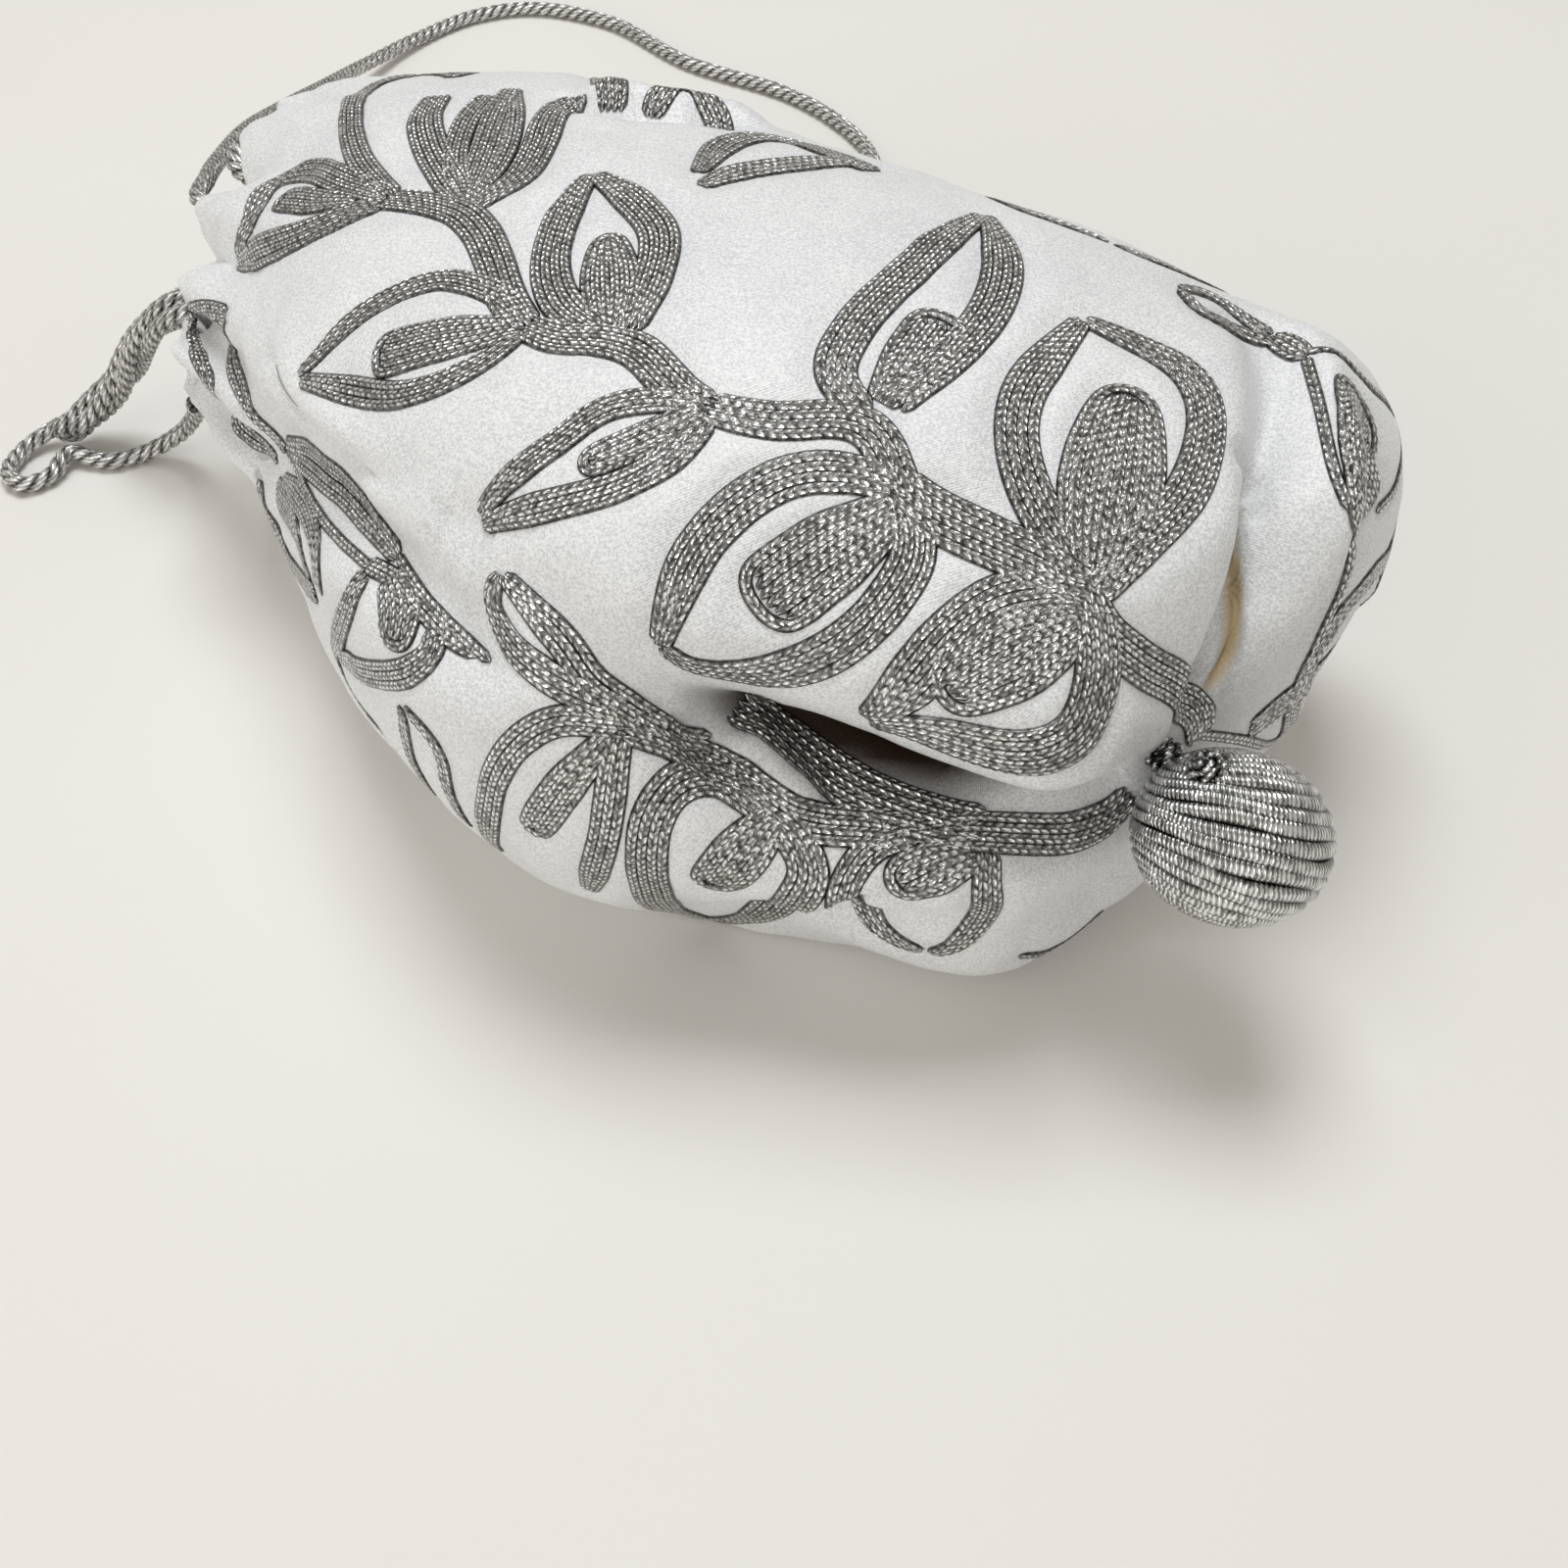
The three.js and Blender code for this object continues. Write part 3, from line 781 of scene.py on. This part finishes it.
# Creases and bulges of the cloth, along pixels of the photo or along and degrees around
CREASES = {
    # depth, reach, bank beside the crease, how far the bank leans over it
    "end_slit": (4.4, 1.0, 0.5, 0.9, [
        (0.975, 40), (0.945, 70), (0.9, 87), (0.854, 91), (0.81, 90), (0.775, 87)]),
    "end_valley": (1.2, 1.5, 0, 0, [
        (0.718, 89), (0.73, 90), (0.744, 88), (0.765, 85.5), (0.79, 85), (0.815, 86.5), (0.84, 88),
        (0.865, 89)]),
    "end_low": (2.5, 8, 0, 0, [(1415, 605), (1392, 650), (1365, 695), (1335, 742)]),
    "nose": (-2.4, 3.6, 0, 0, [(750, 732), (776, 760), (800, 797), (838, 826)]),
    "nose_hollow": (2, 2.6, 0, 0, [(686, 732), (714, 750), (740, 776), (765, 800)]),
    "low_fold": (2.6, 1.8, 1.2, 1.6, [(968, 914), (940, 925), (905, 922), (868, 924), (830, 930)]),
    "side_wrinkle": (2.0, 1.9, 1.3, 0, [(412, 508), (378, 486), (330, 452), (290, 405), (268, 335)]),
    "side_hollow": (1.5, 4, 0, 0, [(440, 520), (470, 545), (492, 572)]),
    "far_crest": (3, 2.2, 2.6, 0, [(790, 132), (735, 119), (663, 113), (610, 106), (558, 96)])}


def crease(points, ups, depth, reach, bank, lean, places):
    """How far a crease through places pushes each point, and the move that makes."""
    line, side = cloth_line(places, CREASE_STEP)
    share = np.linspace(0, 1, len(line))
    strength = np.clip(np.minimum(share, 1 - share) * CREASE_TAPER, 0, 1)
    strength = strength * strength * (3 - 2 * strength)
    flat = points.reshape(-1, 3)
    push, moved = np.zeros(len(flat)), np.zeros(flat.shape)
    margin = 4 * reach + CREASE_MARGIN
    touched = np.all((flat > line.min(0) - margin) & (flat < line.max(0) + margin), axis=1)
    near = ((flat[touched, None] - line[None]) ** 2).sum(-1).argmin(1)
    offset = flat[touched] - line[near]
    across = (offset * side[near]).sum(-1)
    beyond = np.maximum((offset**2).sum(-1) - across**2, 0)
    fade = strength[near] * np.exp(-beyond / (reach + CREASE_END) ** 2)
    beside = np.exp(-((across - BANK_PLACE * reach) / (BANK_REACH * reach)) ** 2)
    push[touched] = fade * (bank * beside - depth * np.exp(-(across / reach) ** 2))
    leaning = side[near] * (lean * fade * beside)[:, None]
    moved[touched] = ups.reshape(-1, 3)[touched] * push[touched, None] - leaning
    return push.reshape(points.shape[:2]), moved.reshape(points.shape)


cloth_tree = tree_of(outer)
ups = grid_normals(outer)
plain = outer
for name, row in CREASES.items():
    fold_pushes[name], moved = crease(plain, ups, *row)
    outer = outer + moved


def uneven(points, size, octaves, shift):
    """Noise at each point, in lumps of about that size."""
    places = [Vector(point) / size + Vector(shift) for point in points]
    return np.array([noise.fractal(place, NOISE_FALL, NOISE_STEP, octaves) for place in places])


def rumple(points, normals):
    """Slight unevenness of slack cloth, strongest in the gathers of the mouth."""
    flat, ups = points.reshape(-1, 3), normals.reshape(-1, 3)
    near_mouth = np.repeat(np.exp(-(place_rows / MOUTH_RUN) ** 2), COLUMNS)
    coarse, fine = uneven(flat, *COARSE_NOISE), uneven(flat, *FINE_NOISE)
    rise = COARSE_RUMPLE * coarse + (FINE_RUMPLE + MOUTH_RUMPLE * near_mouth) * fine
    return raised(flat + ups * rise[:, None]).reshape(points.shape)


rumpled = rumple(outer, grid_normals(outer))
lining = plain + rumpled - outer
outer = rumpled
cloth_tree = tree_of(outer)


# Embroidery
def couch(bundle, line, mirrored):
    """A strand sewn down on the cloth under a line near it."""
    line, normals = on_cloth(resample(line, STRAND_STEP), *STRAND_ROUNDS)
    side = sides_of(line, normals)
    size = np.ones(len(line))
    fade = np.linspace(STRAND_END, 1, min(STRAND_FADE, len(line) // 3))
    size[:len(fade)] = fade
    size[len(size) - len(fade):] = fade[::-1]
    lifted = raised(line + normals * STRAND_HIGH * STRAND_LIFT, STRAND_HIGH)
    up = np.cross(side, tangents(line))
    bundle.tube(lifted, side, up, STRAND_WIDE * size, STRAND_HIGH * size, STRAND_SIDES, mirrored)


def plan_band(lines, places, strands, start, stop):
    """Strands side by side, closing up to a share of their width at the start and the stop."""
    line, side = cloth_line(places)
    share = np.linspace(0, 1, len(line))
    close = np.interp(share, BAND_STATIONS, [start, 1, 1, stop])[:, None]
    for number in range(strands):
        offset = (number - (strands - 1) / 2) * STRAND_PITCH
        lines.append(line + side * offset * close)


def plan_bud(lines, places, loops, point):
    """A leaf's middle: strands that open from its base, and one round their edge and end.
    Point is 0 for a blunt end and 1 for an almond's."""
    line, side = cloth_line(places)
    run = lengths_along(line)

    def add(share, offset):
        at = np.clip(share, 0, 1) * run[-1]
        blunt, almond = np.interp(share, *BLUNT_BUD), np.interp(share, *ALMOND_BUD)
        opening = blunt + (almond - blunt) * point
        away = (opening * offset * STRAND_PITCH)[:, None]
        lines.append(at_lengths(line, run, at) + at_lengths(side, run, at) * away)

    strand = STRAND_PITCH / run[-1]
    round_end = min(0.5 * loops * strand, LONGEST_ROUND_END)
    for number in range(2 * loops - 2):
        offset = number - loops + 1.5
        stop = 1 - BUD_GAP * strand - round_end * (offset / loops) ** 2
        add(np.linspace(0, stop, BUD_STEPS), np.full(BUD_STEPS, offset))
    bend = np.linspace(0, pi, BUD_TURN_STEPS)[1:-1]
    across = np.sign(np.cos(bend)) * np.abs(np.cos(bend)) ** BUD_ROUNDNESS
    edge = loops - 0.5
    ahead = np.linspace(0, 1 - round_end, BUD_STEPS)
    beside = np.full(BUD_STEPS, edge)
    add(np.concatenate([ahead, 1 - round_end + round_end * np.sin(bend) ** BUD_ROUNDNESS, ahead[::-1]]),
        np.concatenate([beside, edge * across, -beside]))


def plan_leaf(lines, strands, one_side, other_side, loops=0, bud=(), point=0):
    plan_band(lines, one_side, strands, *LEAF_ENDS)
    plan_band(lines, other_side, strands, *LEAF_ENDS)
    if loops:
        plan_bud(lines, bud, loops, point)


# Embroidery that the photo shows, at its pixels or at along and degrees around. A band has strands,
# places and how it closes up at both ends. A leaf has strands, two sides and a bud's loops, places and point
TOP_VINE = [
    (4, [(1228, 756), (1224, 728), (1208, 702), (1168, 678), (1126, 640), (1108, 598)]),
    (5, [(1112, 602), (1060, 572), (1000, 545), (950, 520), (918, 494)]),
    (4, [(925, 502), (912, 478), (900, 450), (885, 432), (850, 424), (800, 427), (750, 420), (722, 412)]),
    (4, [(722, 412), (695, 398), (672, 375), (650, 354), (612, 343), (570, 342), (535, 330)]),
    (4, [(535, 330), (515, 300), (502, 262), (488, 232), (465, 212), (435, 204), (392, 200)]),
    (3, [(398, 196), (366, 160), (356, 128), (358, 104), (378, 86), (405, 76), (430, 70)]),
    (1, [(428, 70), (448, 71), (462, 76), (478, 72)]),
    (4, [(474, 204), (452, 172), (438, 146), (433, 116), (446, 95)], 0.5, 0.8),
    (3, [(472, 202), (463, 160), (474, 122), (498, 94)], 0.5, 0.8),
    (4, [(474, 202), (494, 152), (508, 114), (522, 88)], 0.4, 0.5),
    (2, [(480, 204), (510, 165), (524, 128), (525, 90)], 0.5, 0.5),
    (4, [(484, 208), (526, 180), (550, 144), (562, 114), (586, 96)], 0.5, 0.8)]
TOP_LEAVES = [
    (4, [(392, 196), (345, 180), (305, 172), (272, 188), (254, 222), (240, 264)],
     [(388, 204), (350, 217), (306, 236), (268, 252), (240, 268)],
     2, [(360, 202), (320, 203), (283, 201)]),
    (3, [(531, 320), (505, 296), (450, 282), (395, 300), (342, 338), (302, 380)],
     [(528, 338), (500, 360), (455, 385), (405, 401), (352, 396), (304, 386)],
     3, [(530, 330), (460, 342), (380, 362)]),
    (4, [(612, 336), (574, 310), (560, 272), (572, 220), (602, 174)],
     [(640, 332), (662, 288), (672, 236), (648, 204), (606, 174)],
     3, [(622, 332), (622, 290), (619, 236)], 1),
    (3, [(716, 408), (663, 405), (614, 415), (568, 448), (516, 488), (487, 526)],
     [(720, 425), (688, 462), (635, 492), (560, 514), (490, 536)],
     2, [(716, 416), (655, 446), (592, 474)], 0.4)]
END_LEAVES = [
    (4, [(880, 418), (852, 380), (872, 330), (935, 266), (1004, 216)],
     [(912, 408), (968, 362), (1008, 318), (1024, 275), (1018, 236), (1006, 216)],
     3, [(900, 408), (930, 365), (965, 320)]),
    (4, [(1114, 604), (1078, 548), (1048, 490), (1038, 440), (1046, 396), (1074, 358), (1106, 324)],
     [(1120, 604), (1170, 550), (1212, 502), (1232, 449), (1230, 405), (1208, 372), (1160, 346),
      (1110, 324)],
     5, [(1118, 590), (1134, 500), (1154, 394)], 0.8),
    (4, [(922, 498), (885, 484), (825, 480), (770, 502), (712, 558), (682, 626), (672, 662)],
     [(924, 500), (934, 562), (908, 610), (870, 650), (820, 680), (755, 692), (700, 682), (676, 664)],
     4, [(920, 516), (850, 562), (772, 620)]),
    (5, [(1116, 612), (1075, 604), (1020, 614), (970, 650), (925, 702), (883, 736)],
     [(1118, 618), (1124, 690), (1100, 752), (1045, 774), (985, 764), (930, 748), (886, 740)],
     4, [(1106, 634), (1050, 664), (958, 706)], 0.4)]
NEAR_VINE = [
    (4, [(1158, 813), (1140, 832), (1098, 850), (1040, 850), (982, 847), (935, 853)]),
    (4, [(935, 852), (903, 845), (861, 842), (819, 837), (782, 818), (745, 789), (693, 758), (640, 740)]),
    (5, [(1008, 842), (966, 837), (914, 821), (861, 795), (808, 752), (756, 716)], 0.8, 0.9),
    (1, [(1042, 979), (1075, 974), (1105, 957), (1128, 932)])]
NEAR_LEAVES = [
    (3, [(725, 760), (680, 745), (635, 718), (602, 695), (578, 660), (548, 628), (512, 588)],
     [(640, 726), (590, 708), (550, 686), (515, 655), (498, 620), (506, 586)]),
    (3, [(640, 742), (570, 736), (530, 756), (502, 796), (494, 840), (504, 870)],
     [(634, 750), (627, 780), (622, 815), (614, 860), (600, 912)],
     2, [(624, 750), (578, 800), (540, 852)], 0.3),
    (4, [(780, 825), (736, 794), (696, 796), (668, 830), (659, 872), (663, 908), (684, 932), (718, 943)],
     [(790, 835), (815, 862), (826, 892), (814, 918), (772, 938), (722, 943)],
     3, [(792, 834), (760, 868), (722, 908)], 0.4),
    (3, [(930, 852), (893, 862), (872, 884), (858, 918), (885, 935), (905, 958), (940, 974)],
     [(1010, 868), (1008, 905), (1005, 935), (980, 966), (948, 976)],
     3, [(1000, 870), (960, 884), (912, 910)])]
SIDE_VINE = [
    (4, [(290, 457), (316, 470), (352, 500), (382, 537), (403, 566)], 0.5, 0.3),
    (2, [(372, 574), (402, 590), (432, 622), (458, 650), (484, 668)], 0.9, 0.1),
    (1, [(402, 564), (430, 606), (462, 640), (497, 674)]),
    (1, [(289, 460), (310, 502), (340, 545), (374, 576)]),
    (3, [(227, 321), (208, 319), (189, 327)]),
    (1, [(334, 655), (356, 705), (391, 752), (408, 776)])]
SIDE_LEAVES = [
    (3, [(370, 584), (350, 622), (338, 666)],
     [(442, 640), (440, 664), (414, 686), (378, 690), (342, 670)],
     3, [(394, 586), (404, 622), (398, 660)]),
    (2, [(476, 844), (453, 806), (441, 762), (409, 724)],
     [(440, 812), (424, 790), (412, 762), (406, 724)]),
    (2, [(288, 459), (264, 436), (247, 406), (235, 356), (225, 322)],
     [(279, 469), (239, 428), (212, 395), (202, 362), (190, 328)]),
    (3, [(318, 606), (296, 580), (280, 545), (264, 515), (262, 490)],
     [(322, 604), (318, 560), (308, 520), (286, 488)],
     2, [(312, 590), (298, 540), (280, 500)])]
EDGE_LEAVES = [
    (4, [(890, 170), (852, 155), (817, 144), (779, 136), (742, 143), (713, 172)],
     [(865, 162), (830, 162), (790, 166), (752, 172), (716, 186)]),
    (1, [(1331, 357), (1396, 386), (1424, 420), (1434, 455), (1430, 490), (1408, 522)],
     [(1331, 360), (1345, 410), (1362, 480), (1378, 520)],
     7, [(1398, 526), (1396, 468), (1392, 406)], 0.3),
    (2, [(1296, 338), (1262, 314), (1238, 298), (1206, 290)],
     [(1298, 344), (1258, 330), (1230, 316), (1206, 292)])]
EDGE_VINE = [
    (1, [(1378, 520), (1382, 560), (1372, 604), (1352, 646), (1332, 690)]),
    (3, [(1420, 566), (1394, 602), (1362, 644), (1338, 684), (1324, 716), (1317, 748)], 0.3, 0.8),
    (1, [(1318, 744), (1306, 757), (1270, 757), (1226, 752)]),
    (3, [(1298, 340), (1316, 350), (1332, 360)], 0.6, 0.4),
    (4, [(0.225, 42), (0.23, 50), (624, 92), (622, 112)], 0.6, 0.9),
    (2, [(0.31, 34), (0.313, 46), (0.314, 57)]),
    (3, [(0.297, 69.5), (0.294, 65), (0.299, 60), (0.314, 58), (0.33, 60), (0.335, 63)], 0.6, 0.6)]

# Embroidery out of the photo's sight, as along and degrees around
FAR_VINE = [
    (4, [(0.117, 54), (0.18, 48), (0.26, 38), (0.34, 30), (0.42, 18), (0.5, 8), (0.58, 2), (0.66, 4),
         (0.74, 12)]),
    (4, [(0.74, 12), (0.8, -2), (0.86, -22), (0.93, -45)])]
FAR_LEAVES = [
    (4, [(0.22, 42), (0.18, 40), (0.13, 32), (0.1, 20)],
     [(0.22, 42), (0.21, 30), (0.16, 20), (0.1, 19)],
     2, [(0.21, 38), (0.18, 33), (0.145, 27)]),
    (4, [(0.5, 8), (0.455, 22), (0.455, 38), (0.48, 48), (0.51, 51), (0.54, 51)],
     [(0.5, 8), (0.56, 16), (0.595, 30), (0.595, 44), (0.57, 51), (0.545, 51)],
     3, [(0.505, 12), (0.52, 23), (0.53, 36)]),
    (4, [(0.34, 30), (0.29, 27), (0.24, 10), (0.235, -8)],
     [(0.34, 30), (0.345, 14), (0.3, -4), (0.237, -9)],
     3, [(0.335, 25), (0.31, 15), (0.27, 3)]),
    (4, [(0.46, 12), (0.41, 8), (0.375, -12), (0.4, -30)],
     [(0.46, 12), (0.475, -6), (0.45, -22), (0.402, -31)],
     3, [(0.455, 6), (0.43, -6), (0.41, -20)]),
    (4, [(0.62, 3), (0.57, -4), (0.54, -22), (0.56, -38)],
     [(0.62, 3), (0.635, -14), (0.61, -30), (0.562, -39)],
     3, [(0.615, -3), (0.59, -14), (0.57, -28)]),
    (4, [(0.78, 10), (0.72, 0), (0.7, -18), (0.755, -35)],
     [(0.78, 10), (0.82, -4), (0.81, -22), (0.757, -36)],
     3, [(0.78, 4), (0.765, -10), (0.758, -24)]),
    (3, [(0.16, 5), (0.11, 0), (0.07, -12), (0.05, -28)],
     [(0.16, 5), (0.14, -12), (0.1, -24), (0.05, -29)],
     2, [(0.15, 2), (0.12, -8), (0.085, -19)])]

GROUPS = {
    "top": (TOP_VINE, TOP_LEAVES), "end": ((), END_LEAVES), "near": (NEAR_VINE, NEAR_LEAVES),
    "side": (SIDE_VINE, SIDE_LEAVES), "edge": (EDGE_VINE, EDGE_LEAVES), "far": (FAR_VINE, FAR_LEAVES)}


def planned_lines(bands, leaves):
    lines = []
    for strands, places, *ends in bands:
        plan_band(lines, places, strands, *(ends or VINE_ENDS))
    for leaf in leaves:
        plan_leaf(lines, *leaf)
    return lines


plans = {name: planned_lines(*group) for name, group in GROUPS.items()}


def press_down(points):
    """Stitches pull the cloth in under the strands, so it stands up between them."""
    places = np.vstack([line[::PRESS_SKIP] for lines in plans.values() for line in lines])
    stitches = KDTree(len(places))
    for number, place in enumerate(places):
        stitches.insert(place, number)
    stitches.balance()
    flat = points.reshape(-1, 3)
    away = np.array([stitches.find(point)[2] for point in flat])
    depth = PRESS * np.exp(-(away / PRESS_REACH) ** 2)
    pressed = raised(flat - grid_normals(points).reshape(-1, 3) * depth[:, None])
    return pressed.reshape(points.shape)


outer = press_down(outer)
cloth_tree = tree_of(outer)
for name, lines in plans.items():
    bundle = Bundle()
    for number, line in enumerate(lines):
        couch(bundle, line, number % 2)
    piece = bundle.make("embroidery_" + name, COUCHING)
    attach(piece, "root")


# Pouch mesh: outer skin, rim and inner skin in one closed sheet
def add_pouch():
    inner_at = np.linspace(0, len(outer) - INNER_STOP, INNER_ROWS).astype(int)
    inset = CLOTH_WALL + np.maximum(-sum(fold_pushes[name] for name in CREASES), 0)
    inset = inset + PLEAT_ROOM * np.maximum(-fold_pushes["end_pleat"], 0)
    for axis, reach in enumerate(INSET_SPREAD):
        inset = np.max([np.roll(inset, step, axis) for step in range(-reach, reach + 1)], axis=0)
    neck = np.interp(np.arange(NECK_ROWS), [ROLL_ROWS, NECK_ROWS], [RIM_WALL, CLOTH_WALL])
    inset[:NECK_ROWS] = neck[:, None]
    inner = raised((lining - grid_normals(lining) * inset[..., None])[inner_at], CLOTH_WALL)
    skins = np.vstack([inner[::-1], outer])
    caps = grid_caps(len(skins), COLUMNS)
    quads = np.vstack([grid_quads(len(skins), COLUMNS), caps])
    inner_places = place_rows[inner_at][::-1]
    lengthwise = np.concatenate([inner_places, place_rows]) * TEXTURE_LENGTH * MM
    roundwise = np.arange(COLUMNS + 1) / COLUMNS * TEXTURE_GIRTH * MM
    uvs = np.concatenate([grid_uvs(lengthwise, roundwise), np.zeros((len(caps), 4, 2))])
    piece = make_mesh("pouch_cloth", skins.reshape(-1, 3), quads, SATIN, uvs)
    # Painted shade: the satin turns tan or dark where a fold runs deep, and the lining darkens inward from
    # the mouth
    for name, fold, start, full, inside in PAINTED_SHADES:
        share = np.clip((-fold_pushes[fold] - start) / (full - start), 0, 1)
        painted_lining_shade = inside * np.clip((inner_places - LINING_SHADE_START) / LINING_SHADE_RUN, 0, 1)
        share = np.vstack([np.repeat(painted_lining_shade[:, None], COLUMNS, axis=1), share])
        layer = piece.data.attributes.new(name, "FLOAT", "POINT")
        layer.data.foreach_set("value", share.astype(np.float32).ravel())
    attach(piece, "root")
    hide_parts("pouch")


add_pouch()


# Ball
def coil(start, axis, guide, turns, count, travel, radius):
    """A coil about an axis. Its travel and its radius run from their first value to their last."""
    across = unit(np.cross(axis, guide))
    around = np.linspace(0, turns * 2 * pi, count)[:, None]
    circle = across * np.cos(around) + np.cross(axis, across) * np.sin(around)
    along, reach = np.linspace(*travel, count)[:, None], np.linspace(*radius, count)[:, None]
    return start + axis * along + reach * circle


def add_ball():
    """Cord wound in rings that draw together on one side, with a shank and a small knot."""
    bundle = Bundle()
    axis = unit(BALL_WINDING_AXIS)
    first = unit(BALL_PINCH_SIDE - axis * axis.dot(BALL_PINCH_SIDE))
    second = np.cross(axis, first)
    turn = np.linspace(0, 2 * pi, RING_STEPS)
    pinch = 1 - BALL_PINCH * np.exp(-(np.minimum(turn, 2 * pi - turn) / PINCH_REACH) ** 2)
    circle = first * np.cos(turn)[:, None] + second * np.sin(turn)[:, None]

    def lay(out, half, swell):
        reach = BALL_RADIUS * (1 - (1 - BALL_FLATNESS) * (out @ axis) ** 2) - half * swell
        line = BALL_CENTRE + out * reach[:, None]
        along = tangents(line)
        side = unit(np.cross(along, out))
        bundle.tube(line, side, np.cross(side, along), half * RING_OVERLAP, half * swell, RING_SIDES)

    def ripple(number, size, waves, shift):
        return size * np.sin(waves * turn + number * shift)

    rings = []
    for number in range(BALL_RINGS):
        level = (number + 0.5) / BALL_RINGS * pi - pi / 2
        sway = sum(ripple(number, *row) for row in RING_SWAYS)
        rise = ((level + sway) * pinch)[:, None]
        rings.append(axis * np.sin(rise) + circle * np.cos(rise))
        lay(rings[-1], BALL_RADIUS * pi / BALL_RINGS / 2 * pinch, 1 + ripple(number, *RING_SWELL))
    for edge in (rings[0], rings[-1]):
        middle = (edge.min(0) + edge.max(0)) / 2
        for share in CLOSING_TURNS:
            lay(unit(middle + share * (edge - middle)), CLOSING_HALF, 1)
    core = BALL_RADIUS * BALL_FLATNESS - CORE_GAP
    middle = np.linspace(-1, 1, CORE_ROWS) * core
    size = np.sqrt(np.maximum(core**2 - middle**2, 0.01))
    bundle.tube(BALL_CENTRE + axis * middle[:, None], np.tile(first, (CORE_ROWS, 1)),
                np.tile(second, (CORE_ROWS, 1)), size, size, CORE_SIDES)
    tip = cloth(1.0, 0.0)[0]
    shank = coil(tip, unit(BALL_CENTRE - tip), (0, 0, 1), *SHANK_COIL)
    bundle.rope(resample(shank, CORD_STEP), *SHANK_CORD)
    knot = coil(BALL_CENTRE, unit(KNOT_PLACE), (0, 1, 0), *KNOT_COIL)
    bundle.rope(resample(knot, KNOT_STEP), *KNOT_CORD)
    piece = bundle.make("ball_winding", WINDING)
    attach(piece, "root")
    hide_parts("ball_finial")


add_ball()


# Floor and light
def add_floor():
    bpy.ops.mesh.primitive_plane_add(size=FLOOR_SIZE)
    floor = bpy.context.object
    floor.name = "floor"
    floor.data.materials.append(floor_paint("pale_floor"))


def add_light(name, place, size, power, colour):
    light = bpy.data.objects.new(name, bpy.data.lights.new(name, "AREA"))
    bpy.context.collection.objects.link(light)
    light.data.size, light.data.energy, light.data.color = size, power, colour
    light.location = place
    aim = Vector(LIGHT_TARGET) - Vector(place)
    light.rotation_euler = aim.to_track_quat("-Z", "Y").to_euler()


add_floor()
for row in LIGHTS:
    add_light(*row)
bpy.context.scene.view_settings.view_transform = "Standard"
world = bpy.data.worlds.new("studio")
bpy.context.scene.world = world
world.use_nodes = True
background = world.node_tree.nodes["Background"]
background.inputs["Color"].default_value = WORLD_COLOUR
background.inputs["Strength"].default_value = WORLD_STRENGTH
